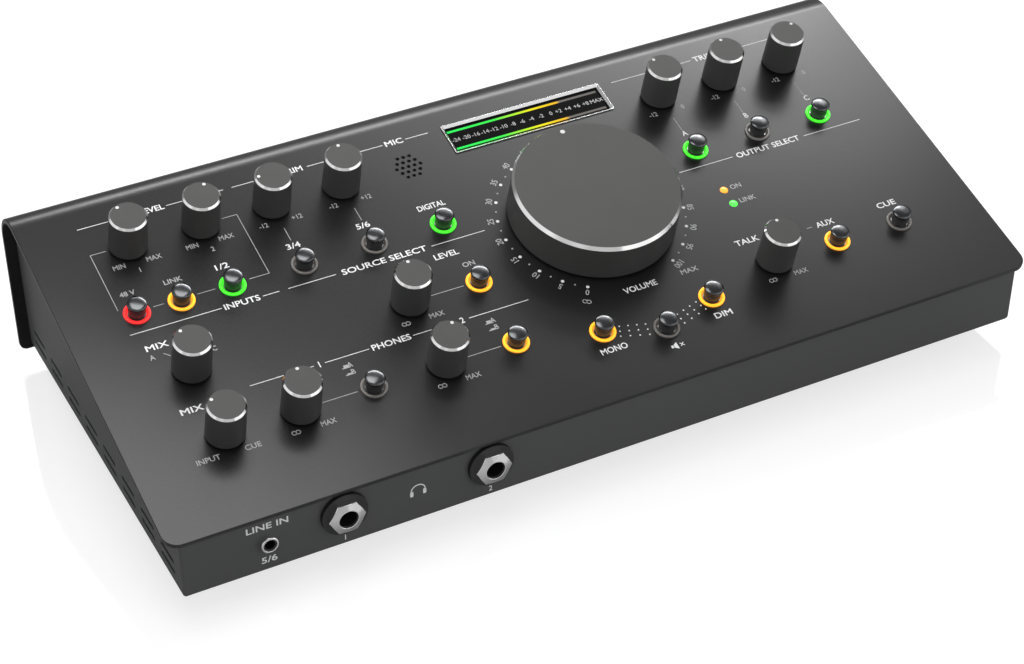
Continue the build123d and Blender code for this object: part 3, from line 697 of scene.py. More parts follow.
@dataclass(frozen=True)
class Plastic:
    """Moulded plastic: a fine matt texture, with a trace of dust in its tone.

    Attributes:
        name: Name of the material.
        colour: Its colour.
        roughness: Mean roughness.
        grain: Waves of the texture per metre.
        depth: Depth of the texture in metres.
        shine: Specular level.
        drift: Waves of the dust per metre.
        dust: Factor on the colour where there is dust, and what is added to it.
        gloss: Shares of texture and dust in the roughness.
    """

    name: str
    colour: Triple
    roughness: float = 0.4
    grain: float = 4000.0
    depth: float = 0.000008
    shine: float = 0.5
    drift: float = 60.0
    dust: Pair = (1.25, 0.002)
    gloss: Pair = (0.1, 0.08)

    def material(self) -> bpy.types.Material:
        """Texture in the bump and gloss.

        Returns:
            The material.
        """
        graph = Graph(bpy.data.materials.new(self.name))
        grain = graph.noise(self.grain)
        drift = graph.noise(self.drift, 3.0)
        return graph.finish(
            Base_Color=graph.blend(drift, self.colour, scaled(self.colour, *self.dust)),
            Roughness=uneven(self.roughness, self.gloss, grain, drift),
            Specular_IOR_Level=self.shine,
            Normal=graph.bump(grain, self.depth),
        )


@dataclass(frozen=True)
class Metal:
    """Bare or plated metal with a fine random polish.

    Attributes:
        name: Name of the material.
        colour: Its colour.
        roughness: Mean roughness.
        grain: Waves of the hairline marks per metre.
        depth: Depth of the marks in metres.
        stretch: Factors on the marks' coordinates, which draw them out along z.
        drift: Waves of the changes of tone per metre.
        dull: Darkest tone, as a factor on the colour.
        gloss: Shares of marks and tone in the roughness.
    """

    name: str
    colour: Triple
    roughness: float = 0.18
    grain: float = 900.0
    depth: float = 0.0000004
    stretch: Triple = (1.0, 1.0, 0.15)
    drift: float = 120.0
    dull: float = 0.88
    gloss: Pair = (0.04, 0.04)

    def material(self) -> bpy.types.Material:
        """Gloss that changes over the surface, and hairline marks.

        Returns:
            The material.
        """
        graph = Graph(bpy.data.materials.new(self.name))
        wear = graph.noise(self.grain, 3.0, self.stretch)
        drift = graph.noise(self.drift)
        return graph.finish(
            Base_Color=graph.blend(drift, scaled(self.colour, self.dull), self.colour),
            Metallic=1.0,
            Roughness=uneven(self.roughness, self.gloss, wear, drift),
            Normal=graph.bump(wear, self.depth),
        )


@dataclass(frozen=True)
class LitRing:
    """Translucent ring lit from below: one colour on its lip, another deep in its funnel, where its light is
    painted dimmer as shade in that recess.

    Attributes:
        name: Name of the material.
        lip: Colour of the lip.
        deep: Colour at the bottom, where the light is painted dimmer as shade in the funnel; also the colour that
            the speckle leans to.
        strength: Strength of its light.
        rise: Heights above the panel between which the deep colour, painted dimmer as shade, turns into the lip's.
        speckle: Waves of the unevenness per metre, and its share in the unlit colour.
        gloss: Share of the unevenness in the roughness, and the least roughness.
    """

    name: str
    lip: Triple
    deep: Triple
    strength: float = 1.3
    rise: Pair = (0.15, 0.72)
    speckle: Pair = (700.0, 0.3)
    gloss: Pair = (0.1, 0.25)

    def material(self) -> bpy.types.Material:
        """Colour and light by the height above the panel; the light is painted dimmer low in the funnel, as shade.

        Returns:
            The material.
        """
        graph = Graph(bpy.data.materials.new(self.name))
        height = graph.along(PANEL.out, PANEL.origin)
        waves, share = self.speckle
        spots = graph.noise(waves)
        return graph.finish(
            Base_Color=graph.blend(spots * share, self.lip, self.deep),
            Roughness=spots * self.gloss[0] + self.gloss[1],
            # Painted shade: the ring's light dims from the lip down into the funnel.
            Emission_Color=graph.blend(height.steps(*self.rise), self.deep, self.lip),
            Emission_Strength=self.strength,
        )


@dataclass(frozen=True)
class Ink:
    """Screen-printed ink, a little uneven.

    Attributes:
        name: Name of the material.
        colour: Its colour.
        mesh: Waves of the print's mesh per metre.
        thin: Tone of the thinnest ink, as a factor on the colour.
        gloss: Share of the mesh in the roughness, and the least roughness.
    """

    name: str
    colour: Triple
    mesh: float = 3500.0
    thin: float = 0.8
    gloss: Pair = (0.1, 0.5)

    def material(self) -> bpy.types.Material:
        """Tone that breaks up at the scale of the print's mesh.

        Returns:
            The material.
        """
        graph = Graph(bpy.data.materials.new(self.name))
        patch = graph.noise(self.mesh)
        return graph.finish(
            Base_Color=graph.blend(patch, scaled(self.colour, self.thin), self.colour),
            Roughness=patch * self.gloss[0] + self.gloss[1],
        )


@dataclass(frozen=True)
class Lamp:
    """Small lens that is lit.

    Attributes:
        name: Name of the material.
        colour: Its colour.
        strength: Strength of its light.
        flow: Waves of the unevenness per metre.
        pale: Factor on the colour at its palest, and what is added to it.
        gloss: Share of the unevenness in the roughness, and the least roughness.
    """

    name: str
    colour: Triple
    strength: float = 1.0
    flow: float = 900.0
    pale: Pair = (1.15, 0.05)
    gloss: Pair = (0.1, 0.15)

    def material(self) -> bpy.types.Material:
        """Light with the faint unevenness of a moulded lens.

        Returns:
            The material.
        """
        graph = Graph(bpy.data.materials.new(self.name))
        spots = graph.noise(self.flow, 1.0)
        pale = scaled(self.colour, *self.pale)
        return graph.finish(
            Base_Color=graph.blend(spots, self.colour, pale),
            Roughness=spots * self.gloss[0] + self.gloss[1],
            Emission_Color=graph.blend(spots, self.colour, pale),
            Emission_Strength=self.strength,
        )


@dataclass(frozen=True)
class MeterGlass:
    """Dark glass over two strips, lit green through yellow to orange, and grey where unlit.

    Attributes:
        name: Name of the material.
        reach: Distance of a strip's middle from the meter's.
        half: Half the height of a strip.
        ends: Panel u of the strips' ends.
        last: Panel u of the last lit place.
        fade: Fade of a strip's long edges, outside and inside it.
        cut: Half the fade at a strip's ends.
        spill: Fade of the light before and after its last place.
        stops: Colours of the light, each after its place along the lit part.
        unlit: Colour of the unlit part.
        glass: Colour of the glass beside the strips.
        dust: Waves of the dust per metre.
        gloss: Share of the dust in the roughness, and the least roughness.
        shine: Specular level.
    """

    name: str
    reach: float = 4.25
    half: float = 0.44
    ends: Pair = (-4.0, 57.7)
    last: float = 41.5
    fade: Pair = (0.12, 0.05)
    cut: float = 0.1
    spill: Pair = (1.0, 1.4)
    stops: tuple[tuple[float, Triple], ...] = (
        (0.0, (0.03, 1.0, 0.13)),
        (0.42, (0.05, 0.95, 0.09)),
        (0.62, (0.50, 0.92, 0.03)),
        (0.76, (1.0, 0.88, 0.01)),
        (0.97, (1.0, 0.55, 0.02)),
    )
    unlit: Triple = (0.16, 0.15, 0.14)
    glass: Triple = (0.003, 0.003, 0.003)
    dust: float = 300.0
    gloss: Pair = (0.06, 0.1)
    shine: float = 0.04

    def material(self) -> bpy.types.Material:
        """Strips as a soft-edged band in the distance from the meter's middle line.

        Returns:
            The material.
        """
        graph = Graph(bpy.data.materials.new(self.name))
        u = graph.along(PANEL.across, PANEL.origin)
        away = abs(graph.along(PANEL.along, PANEL.origin) - METER_AT[1])
        start, end = self.ends
        inner, outer = self.reach - self.half, self.reach + self.half
        out, into = self.fade
        bar = away.steps(inner - out, inner + into) * (1 - away.steps(outer - into, outer + out))
        bar = bar * u.steps(start - self.cut, start + self.cut)
        bar = bar * (1 - u.steps(end - self.cut, end + self.cut))
        lit = 1 - u.steps(self.last - self.spill[0], self.last + self.spill[1])
        along = u.steps(start, self.last, smooth=False)
        ramp = graph.node("ShaderNodeValToRGB", {"stops": self.stops}, {0: along})
        dust = graph.noise(self.dust)
        return graph.finish(
            Base_Color=graph.blend(bar * (1 - lit), self.glass, self.unlit),
            Roughness=dust * self.gloss[0] + self.gloss[1],
            Specular_IOR_Level=self.shine,
            Emission_Color=graph.blend(bar * lit, (0.0, 0.0, 0.0), ramp.outputs[0]),
            Emission_Strength=1.0,
        )


MADE: dict["Finish", bpy.types.Material] = {}
PANEL = panel_spot()
FRONT = wall_spot(-1)
REAR = wall_spot(1)


class Finish(Enum):
    """The finishes of the console, each made once."""

    COVER = PowderCoat("satin_coat", (0.009, 0.009, 0.009), 0.30)
    CHASSIS = PowderCoat("matt_coat", (0.080, 0.081, 0.082), 0.46, shine=0.3)
    KNOB = Plastic("knob_skirt", (0.055, 0.055, 0.055), 0.4, shine=0.2)
    KNOB_TOP = Plastic("knob_top", (0.058, 0.057, 0.056), 0.5, 2500.0, shine=0.2)
    CHROME = Metal("chrome", (0.88, 0.88, 0.88), 0.12)
    KEY = Metal("key_metal", (0.115, 0.118, 0.122), 0.22)
    STEM = Plastic("key_body", (0.035, 0.035, 0.037), 0.35, shine=0.4)
    SLEEVE = Metal("sleeve_metal", (0.45, 0.45, 0.45), 0.3)
    RUBBER = Plastic("sole_rubber", (0.010, 0.010, 0.010), 0.75, 1800.0, 0.00003)
    BLACK = Plastic("moulded_black", (0.010, 0.010, 0.011), 0.4)
    BOARD = Plastic("green_laminate", (0.010, 0.060, 0.035), 0.35, 800.0)
    STEEL = Metal("zinc_steel", (0.55, 0.55, 0.53), 0.35)
    SCREW = Metal("black_screw", (0.05, 0.05, 0.05), 0.35)
    WHITE_INK = Ink("white_ink", (0.92, 0.92, 0.93))
    GREY_INK = Ink("grey_ink", (0.44, 0.44, 0.45))
    POINTER = Ink("pointer_ink", (0.75, 0.75, 0.75))
    RING_CLEAR = Plastic("clear_ring", (0.17, 0.16, 0.15), 0.3)
    RING_AMBER = LitRing("amber_ring", (1.0, 0.42, 0.02), (0.50, 0.19, 0.02))
    RING_GREEN = LitRing("green_ring", (0.05, 0.90, 0.02), (0.03, 0.34, 0.02))
    RING_RED = LitRing("red_ring", (1.0, 0.02, 0.02), (0.42, 0.015, 0.015))
    LAMP_AMBER = Lamp("amber_lamp", (1.0, 0.30, 0.01))
    LAMP_GREEN = Lamp("green_lamp", (0.05, 1.0, 0.05))
    NUT = Metal("polished_nut", (0.82, 0.82, 0.82), 0.12)
    BEZEL = Metal("bezel_silver", (0.72, 0.72, 0.73), 0.2)
    GLASS = MeterGlass("meter_glass")

    @property
    def material(self) -> bpy.types.Material:
        """This finish's material, made when first asked for.

        Returns:
            The material.
        """
        if self not in MADE:
            MADE[self] = self.value.material()
        return MADE[self]


def dress(node: str, finish: Finish) -> None:
    """Give a CAD node a finish, in place of the one it came with.

    Args:
        node: The node.
        finish: Its finish.
    """
    mesh = frame["nodes"][node].data
    if not mesh.materials:
        mesh.materials.append(None)
    for index in range(len(mesh.materials)):
        mesh.materials[index] = finish.material


# ---------------------------------------------------------------- studio


@dataclass(frozen=True)
class Glow:
    """A soft patch of the surroundings, brighter than the rest.

    Attributes:
        way: Its direction from the object.
        inner: Angle in degrees within which it has its full strength.
        outer: Angle in degrees at which it ends.
        strength: What it adds.
    """

    way: Triple
    inner: float
    outer: float
    strength: float


@dataclass(frozen=True)
class Softbox:
    """A rectangular soft lamp.

    Attributes:
        name: Its name.
        place: Where it hangs, in metres.
        target: The point that it faces.
        size: Its side in metres.
        power: Its watts.
        breadth: Its other side, where it isn't square.
    """

    name: str
    place: Triple
    target: Triple
    size: float
    power: float
    breadth: float = 0.0

    def build(self) -> None:
        """Hang the lamp."""
        data = bpy.data.lights.new(self.name, "AREA")
        data.shape = "RECTANGLE"
        data.size, data.size_y = self.size, self.breadth or self.size
        data.energy = self.power
        lamp = bpy.data.objects.new(self.name, data)
        lamp.location = self.place
        facing = Vector(self.target) - Vector(self.place)
        lamp.rotation_euler = facing.to_track_quat("-Z", "Y").to_euler()
        lamp.visible_camera = False
        bpy.context.scene.collection.objects.link(lamp)


@dataclass(frozen=True)
class Studio:
    """Floor, soft lamps, world and camera.

    Attributes:
        eye: Camera's place in metres.
        turn: Camera's turns about X, Y and Z in degrees.
        lens: Focal length in millimetres.
        shift: Camera's shift, as shares of the image's width.
        sensor: Width of the camera's sensor in millimetres.
        clip: Nearest and farthest distance that the camera sees, in metres.
        floor_half: Half the floor's side in metres.
        floor_tones: The two greys between which the floor drifts.
        floor_drift: Waves of that drift per metre.
        floor_gloss: The floor's roughness.
        floor_index: The floor's refractive index.
        floor_glow: Light of the floor towards the camera alone, which brings it to white.
        sky: Strength of the world on the object.
        glows: Patches of the world.
        lamps: Soft lamps.
    """

    eye: Triple = (-0.33004, -0.62399, 0.54408)
    turn: Triple = (51.93310, 0.37457, -26.93514)
    lens: float = 85.63
    shift: Pair = (0.0304, 0.0348)
    sensor: float = 36.0
    clip: Pair = (0.05, 20.0)
    floor_half: float = 4.0
    floor_tones: Pair = (0.42, 0.44)
    floor_drift: float = 3.0
    floor_gloss: float = 0.06
    floor_index: float = 2.6
    floor_glow: float = 0.72
    sky: float = 0.30
    glows: tuple[Glow, ...] = (
        Glow((-0.91, 0.24, 0.28), 18, 42, 0.8),
        Glow((-0.81, -0.54, 0.21), 8, 30, 0.5),
        Glow((0.92, -0.33, 0.17), 10, 36, 0.9),
        Glow((0.10, -0.96, 0.26), 25, 58, 0.45),
        Glow((0.40, -0.63, 0.66), 5, 15, 0.8),
        Glow((0.36, 0.74, 0.57), 12, 26, 0.25),
    )
    lamps: tuple[Softbox, ...] = (
        Softbox("lamp_left", (-0.139, -0.015, 0.357), (-0.2, -0.106, 0.024), 0.25, 0.62),
        Softbox("lamp_corner", (-0.131, -0.016, 0.264), (-0.18, -0.086, 0.029), 0.15, 0.06),
        Softbox("lamp_right", (0.545, 0.203, 0.514), (0.21, 0.01, 0.055), 0.35, 0.23),
        Softbox("lamp_rear", (0.267, 0.308, 0.482), (0.06, 0.097, 0.078), 0.25, 0.11),
        Softbox("lamp_rear_right", (0.35, 0.188, 0.339), (0.17, 0.059, 0.068), 0.15, 0.22),
        Softbox("lamp_rear_left", (0.177, 0.27, 0.366), (0.04, 0.117, 0.083), 0.2, 0.12),
        Softbox("lamp_front", (0.5, -0.55, 0.2), (0.1, -0.07, 0.02), 1.0, 0.62, 0.34),
        Softbox("lamp_bend", (0.215, 0.448, 0.485), (0.0, 0.075, 0.068), 0.60, 2.4, 0.10),
    )

    def build(self) -> None:
        """Make everything round the object."""
        self.camera()
        self.floor()
        self.world()
        for lamp in self.lamps:
            lamp.build()
        bpy.context.scene.view_settings.view_transform = "Standard"

    def camera(self) -> None:
        """Place the camera."""
        data = bpy.data.cameras.new("camera")
        data.lens, data.sensor_width = self.lens, self.sensor
        data.shift_x, data.shift_y = self.shift
        data.clip_start, data.clip_end = self.clip
        camera = bpy.data.objects.new("camera", data)
        camera.location = self.eye
        camera.rotation_euler = [math.radians(a) for a in self.turn]
        bpy.context.scene.collection.objects.link(camera)
        bpy.context.scene.camera = camera

    def floor(self) -> None:
        """A wide white floor, glossy enough to mirror the case faintly."""
        half = self.floor_half
        mesh = bpy.data.meshes.new("floor")
        corners = [(-half, -half, 0), (half, -half, 0), (half, half, 0), (-half, half, 0)]
        mesh.from_pydata(corners, [], [(0, 1, 2, 3)])
        floor = bpy.data.objects.new("floor", mesh)
        bpy.context.scene.collection.objects.link(floor)
        graph = Graph(bpy.data.materials.new("floor"))
        seen = Value(graph, graph.node("ShaderNodeLightPath").outputs["Is Camera Ray"])
        low, high = ((tone, tone, tone) for tone in self.floor_tones)
        surface = graph.node(
            "ShaderNodeBsdfPrincipled",
            inputs={
                "Base Color": graph.blend(graph.noise(self.floor_drift), low, high),
                "Roughness": self.floor_gloss,
                "IOR": self.floor_index,
            },
        )
        glow = graph.node("ShaderNodeEmission", inputs={"Strength": seen * self.floor_glow})
        both = graph.node("ShaderNodeAddShader", inputs={0: surface.outputs[0], 1: glow.outputs[0]})
        graph.node("ShaderNodeOutputMaterial", inputs={"Surface": both.outputs[0]})
        mesh.materials.append(graph.owner)

    def world(self) -> None:
        """A pale world: white to the camera, softer and patchy to the object.

        Each patch adds its strength times a smooth rise of the cosine of the angle to it.
        """
        world = bpy.data.worlds.new("world")
        bpy.context.scene.world = world
        graph = Graph(world)
        way = graph.node("ShaderNodeTexCoord").outputs["Generated"]
        seen = Value(graph, graph.node("ShaderNodeLightPath").outputs["Is Camera Ray"])
        light = self.sky
        for glow in self.glows:
            aim = np.array(glow.way) / np.linalg.norm(glow.way)
            near = graph.dot(way, aim)
            rise = near.steps(math.cos(math.radians(glow.outer)), math.cos(math.radians(glow.inner)))
            light = rise * glow.strength + light
        strength = light * (1 - seen) + seen
        sky = graph.node("ShaderNodeBackground", inputs={"Strength": strength})
        graph.node("ShaderNodeOutputWorld", inputs={"Surface": sky.outputs[0]})


# ---------------------------------------------------------------- knobs


@dataclass
class Knob:
    """A knob: skirt, bright bevel, satin top and a pointer's dimple.

    Attributes:
        node: CAD node that it stands for.
        u: Panel place, across.
        v: Panel place, up the slope.
        pointer: Direction of the pointer in degrees from u.
        radius: Skirt's radius below the bevel.
        foot: Skirt's radius at the bottom.
        gap: Space between the panel and the skirt.
        height: Height of the top above the panel.
        bevel: Width and height of the bevel.
        inset: Distance of the pointer's centre from the bevel.
        hollow: Wall of the skirt.
        depth: Depth of the hollow under it.
        soft: Rounding of the skirt's foot, and height and rounding of the edge under the bevel.
        dot: Radius, sunk depth, raised height and rounding of the pointer.
        steps: Points round the axis.
        dot_steps: Points round the pointer.
    """

    node: str
    u: float
    v: float
    pointer: float
    radius: float = 6.65
    foot: float = 6.78
    gap: float = 1.0
    height: float = 16.0
    bevel: Pair = (0.6, 0.85)
    inset: float = 0.9
    hollow: float = 1.0
    depth: float = 6.0
    soft: Triple = (0.18, 0.06, 0.05)
    dot: tuple[float, float, float, float] = (0.6, 0.1, 0.03, 0.02)
    steps: int = 96
    dot_steps: int = 24

    def build(self) -> bpy.types.Object:
        """Turn the profiles of skirt, bevel and top about the knob's axis, and add the pointer.

        Returns:
            The knob, which rides on its own body.
        """
        spot = PANEL.at(self.u, self.v)
        mesh = Mesh()
        crown = self.height - self.bevel[1]
        lip = self.radius - self.bevel[0]
        inside, ceiling = self.foot - self.hollow, self.gap + self.depth
        skirt = rounded(
            [
                (0, ceiling),
                (inside, ceiling),
                (inside, self.gap),
                (self.foot, self.gap, self.soft[0]),
                (self.radius, crown),
            ]
        )
        edge = (self.radius, crown + self.soft[1], self.soft[2])
        top = np.array([(lip, self.height), (lip * 0.5, self.height), (0, self.height)])
        turned(mesh, spot, skirt, 0, self.steps)
        turned(mesh, spot, rounded([(self.radius, crown), edge, (lip, self.height)]), 1, self.steps)
        turned(mesh, spot, top, 2, self.steps)
        place = spot.at(*(toward(self.pointer) * (lip - self.inset)), self.height)
        radius, sunk, raised, soft = self.dot
        dimple = rounded([(radius, -sunk), (radius, raised, soft), (0, raised)])
        turned(mesh, place, dimple, 3, self.dot_steps)
        finishes = [Finish.KNOB, Finish.CHROME, Finish.KNOB_TOP, Finish.POINTER]
        return mesh.look(self.node, finishes, self.node + "_body")


KNOBS = [
    Knob("input_1_gain_knob", column(-5), ROWS[3], 115),
    Knob("input_2_gain_knob", column(-4), ROWS[3], 59),
    Knob("line_3_4_trim_knob", column(-3), ROWS[3], 166),
    Knob("line_5_6_trim_knob", column(-2), ROWS[3], 88),
    Knob("monitor_a_trim_knob", column(3), ROWS[3], 118),
    Knob("monitor_b_trim_knob", column(4), ROWS[3], 88),
    Knob("monitor_c_trim_knob", column(5), ROWS[3], 45),
    Knob("cue_source_knob", column(-5), ROWS[1], 118),
    Knob("direct_mix_knob", column(-5), ROWS[0], 137),
    Knob("phones_1_level_knob", column(-4), ROWS[0], 88),
    Knob("studio_level_knob", column(-2), ROWS[1], 87),
    Knob("phones_2_level_knob", column(-2), ROWS[0], 59),
    Knob("talkback_level_knob", column(3), ROWS[0], 87),
    Knob(
        "volume_knob", *VOLUME_AT, 90, radius=30.4, foot=30.53, height=15.9, bevel=(0.9, 1.3),
        inset=2.4, hollow=2.0, dot=(0.9, 0.1, 0.03, 0.02), steps=160,
    ),
]


# ---------------------------------------------------------------- keys


class Light(Enum):
    """Colour of the ring round a key, with the CAD node that holds it."""

    RED = "red_light_rings"
    AMBER = "amber_light_rings"
    GREEN = "green_light_rings"
    CLEAR = "clear_light_rings"

    @property
    def finish(self) -> Finish:
        """The ring's finish."""
        return Finish["RING_" + self.name]


@dataclass
class Key:
    """A domed metal key on a dark stem.

    Attributes:
        node: CAD node that it stands for.
        u: Panel place, across.
        v: Panel place, up the slope.
        light: Colour of its ring.
        radius: Cap's radius.
        heights: Heights of the cap's underside, of its widest part and of the dome's top.
        fullness: Power of the cosine in the dome's radius; below 1 the dome is flatter.
        soft: Rounding of the cap's lower edge, and rounding and drop of the edge under the dome.
        slant: Width of the cap's slanting side.
        lap: Overlap of cap and body, across and along the axis.
        body: Radius of the body under the cap, height of its lower end and rounding there.
        stem: Stem's radius under the panel, and height of its lower end.
        arc: Points on the dome's profile.
        steps: Points round the axis.
    """

    node: str
    u: float
    v: float
    light: Light
    radius: float = 3.5
    heights: Triple = (4.1, 5.0, 6.0)
    fullness: float = 0.8
    soft: Triple = (0.15, 0.3, 0.35)
    slant: float = 0.25
    lap: Pair = (0.1, 0.05)
    body: Triple = (3.08, 1.06, 0.2)
    stem: Pair = (2.6, -7.0)
    arc: int = 12
    steps: int = 48

    def build(self) -> bpy.types.Object:
        """Turn the profiles of cap and stem about the key's axis.

        The dome is a quarter of an ellipse: its radius goes with a power of cos a and its
        height with sin a, as a runs from 0 to a right angle.

        Returns:
            The key, which rides on its own body.
        """
        spot = PANEL.at(self.u, self.v)
        mesh = Mesh()
        under, rim, proud = self.heights
        wide, low, bend = self.body
        slim, foot = self.stem
        turn = np.linspace(0, math.pi / 2, self.arc)
        dome = np.stack([self.radius * np.cos(turn) ** self.fullness, rim + (proud - rim) * np.sin(turn)], -1)
        dome[-1, 0] = 0.0
        edge = rounded(
            [
                (wide - self.lap[0], under),
                (self.radius - self.slant, under, self.soft[0]),
                (self.radius, rim - self.soft[2], self.soft[1]),
                (self.radius, rim),
            ]
        )
        top = under + self.lap[1]
        stem = rounded(
            [(0, foot), (slim, foot), (slim, low), (wide, low, bend), (wide, top), (0, top)]
        )
        turned(mesh, spot, np.concatenate([edge, dome[1:]]), 0, self.steps)
        turned(mesh, spot, stem, 1, self.steps)
        return mesh.look(self.node, [Finish.KEY, Finish.STEM], self.node + "_body")


SHARED_STEP = 8.0         # from a column to each of the two keys that share it
SIDE_KEYS = (21.7, 28.4)  # keys beside the muting key: distance from the volume knob's u, and v
MUTE_V = 21.9             # v of the muting key
KEYS = [
    Key("phantom_power_key", column(-5) - SHARED_STEP, ROWS[2], Light.RED),
    Key("stereo_link_key", column(-5) + SHARED_STEP, ROWS[2], Light.AMBER),
    Key("input_1_2_key", column(-4), ROWS[2], Light.GREEN),
    Key("input_3_4_key", column(-3), ROWS[2], Light.CLEAR),
    Key("input_5_6_key", column(-2), ROWS[2], Light.CLEAR),
    Key("usb_key", column(-1), ROWS[2], Light.GREEN),
    Key("studio_on_key", column(-1), ROWS[1], Light.AMBER),
    Key("phones_1_key", column(-3), ROWS[0], Light.CLEAR),
    Key("phones_2_key", column(-1), ROWS[0], Light.AMBER),
    Key("mono_key", VOLUME_AT[0] - SIDE_KEYS[0], SIDE_KEYS[1], Light.AMBER),
    Key("mute_key", VOLUME_AT[0], MUTE_V, Light.CLEAR),
    Key("dim_key", VOLUME_AT[0] + SIDE_KEYS[0], SIDE_KEYS[1], Light.AMBER),
    Key("monitor_a_key", column(3), ROWS[2], Light.GREEN),
    Key("monitor_b_key", column(4), ROWS[2], Light.CLEAR),
    Key("monitor_c_key", column(5), ROWS[2], Light.GREEN),
    Key("two_track_key", column(4), ROWS[0], Light.AMBER),
    Key("cue_key", column(5), ROWS[0], Light.CLEAR),
]


@dataclass
class LightRings:
    """All rings of one colour: a rounded lip on the panel and a funnel inside it.

    Attributes:
        light: Their colour.
        radius: Outer radius.
        lip: Width of the lip.
        proud: Height of the lip.
        bore: Radius of the funnel's bottom.
        depth: Height of the funnel's bottom.
        collar: Radius of the part in the panel's hole, and height of its lower end.
        soft: Rounding of the lip's outer and inner edge.
        steps: Points round the axis.
    """

    light: Light
    radius: float = 4.7
    lip: float = 0.75
    proud: float = 0.7
    bore: float = 3.15
    depth: float = -0.1
    collar: Pair = (4.05, -2.9)
    soft: Pair = (0.3, 0.15)
    steps: int = 64

    def build(self) -> bpy.types.Object:
        """Turn one closed profile about the axis of each key of that colour.

        Returns:
            The rings, as one piece.
        """
        wide, foot = self.collar
        profile = rounded(
            [
                (self.bore, foot),
                (wide, foot),
                (wide, 0.0),
                (self.radius, 0.0),
                (self.radius, self.proud, self.soft[0]),
                (self.radius - self.lip, self.proud, self.soft[1]),
                (self.bore, self.depth),
                (self.bore, foot),
            ]
        )
        mesh = Mesh()
        for key in KEYS:
            if key.light is self.light:
                turned(mesh, PANEL.at(key.u, key.v), profile, 0, self.steps)
        return mesh.look(self.light.value, [self.light.finish])


# ---------------------------------------------------------------- sheet metal and dressed parts


@dataclass
class Shell:
    """A CAD part shown as a merged copy, whose flats shade flat and whose bends run smoothly.

    Attributes:
        node: CAD node that it stands for.
        finish: Its finish.
        slot: The record's material slot; not used.
        sharp: Angle in degrees past which an edge stays sharp.
    """

    node: str
    finish: Finish
    slot: str
    sharp: float = 28.0

    def build(self) -> bpy.types.Object:
        """Copy the node's triangles into a piece of their own.

        Returns:
            The copy.
        """
        source = frame["nodes"][self.node].data
        source.calc_loop_triangles()
        mesh = Mesh()
        mesh.add(fetch(source.vertices, "co", 3), fetch(source.loop_triangles, "vertices", 3, np.int32))
        return mesh.look(self.node, [self.finish], sharp=self.sharp)


SHELLS = [
    Shell("top_cover", Finish.COVER, "cover_paint"),
    Shell("chassis", Finish.CHASSIS, "chassis_paint"),
    Shell("phones_jacks", Finish.BLACK, "black_plastic"),
    Shell("combo_inputs", Finish.BLACK, "black_plastic"),
    Shell("power_button", Finish.BLACK, "black_plastic"),
]


# ---------------------------------------------------------------- nuts


@dataclass
class Nuts:
    """Every jack's hexagonal cap nut, with a conical front, and the small jack's ring nut.

    Attributes:
        flats: Width across the flats.
        edge: Height of the cone at the corners.
        crest: Radius and height of the cone's top.
        bore: Radius of the hole in the front.
        lip: Thickness of the front round the hole.
        thread: Radius of the thread.
        soft: Width of the worn edge between side and cone.
        brow: Reach of the worn edge at the crest, down the cone and over the top.
        worn: Width of the worn edge round the hole.
        ring: Corners of the small jack's ring nut: radius, height and rounding.
        ring_steps: Points round the ring nut's axis.
        steps: Points round a cap nut's axis.
    """

    flats: float = 11.4
    edge: float = 1.9
    crest: Pair = (3.7, 2.9)
    bore: float = 3.4
    lip: float = 0.7
    thread: float = 4.75
    soft: float = 0.14
    brow: Pair = (0.1, 0.05)
    worn: float = 0.08
    ring: tuple[tuple, ...] = (
        (2.6, 0), (3.1, 0), (3.1, 2.1, 0.45), (2.35, 2.1, 0.12), (2.35, 1.6), (2.6, 1.6), (2.6, 0)
    )
    ring_steps: int = 64
    steps: int = 96

    def hexagon(self, mesh: Mesh, spot: Spot) -> None:
        """Add one nut.

        At angle a the side lies at flats / 2 / cos(b), where b is a's distance from the
        nearest flat's middle. The cone falls in a straight line from the crest to the
        corners, so it cuts each flat in an arch.

        Args:
            mesh: Mesh that takes it.
            spot: Middle of its seat.
        """
        angle = np.linspace(0, 2 * math.pi, self.steps, endpoint=False)
        sixth = math.pi / 3
        side = self.flats / 2 / np.cos(np.mod(angle, sixth) - sixth / 2)
        corner = self.flats / 2 / math.cos(sixth / 2)
        crest, top = self.crest
        fall = (top - self.edge) / (corner - crest)
        arch = top - (side - crest) * fall
        down, over = self.brow
        inner = top - self.lip
        rows = [
            (side, 0.0),
            (side, arch - self.soft),
            (side - self.soft, arch + self.soft * fall),
            (crest + down, top - down * fall),
            (crest - over, top),
            (self.bore + self.worn, top),
            (self.bore, top - self.worn),
            (self.bore, inner),
            (self.thread, inner),
            (self.thread, 0.0),
            (side, 0.0),
        ]
        grid = [
            np.stack([r * np.cos(angle), r * np.sin(angle), np.broadcast_to(h, angle.shape)], -1)
            for r, h in rows
        ]
        mesh.grid(spot.place(np.stack(grid)), 0, wrap=True)

    def build(self) -> bpy.types.Object:
        """Add a nut at the place of each jack's mount.

        Returns:
            All nuts, as one piece.
        """
        mesh = Mesh()
        for mount in frame["record"]["mounts"]:
            name = mount["name"]
            wall = FRONT if mount["axis"][1] < 0 else REAR
            away = (np.array(mount["pos_m"]) - wall.origin) / MM
            x, y = float(away @ wall.across), float(away @ wall.along)
            if name == "aux_jack":
                turned(mesh, wall.at(x, y, -OVERHANG), rounded(self.ring), 0, self.ring_steps)
            elif name.endswith("_jack") and not name.startswith("input"):
                self.hexagon(mesh, wall.at(x, y))
        return mesh.look("jack_nuts", [Finish.NUT])


# ---------------------------------------------------------------- meter and lamps


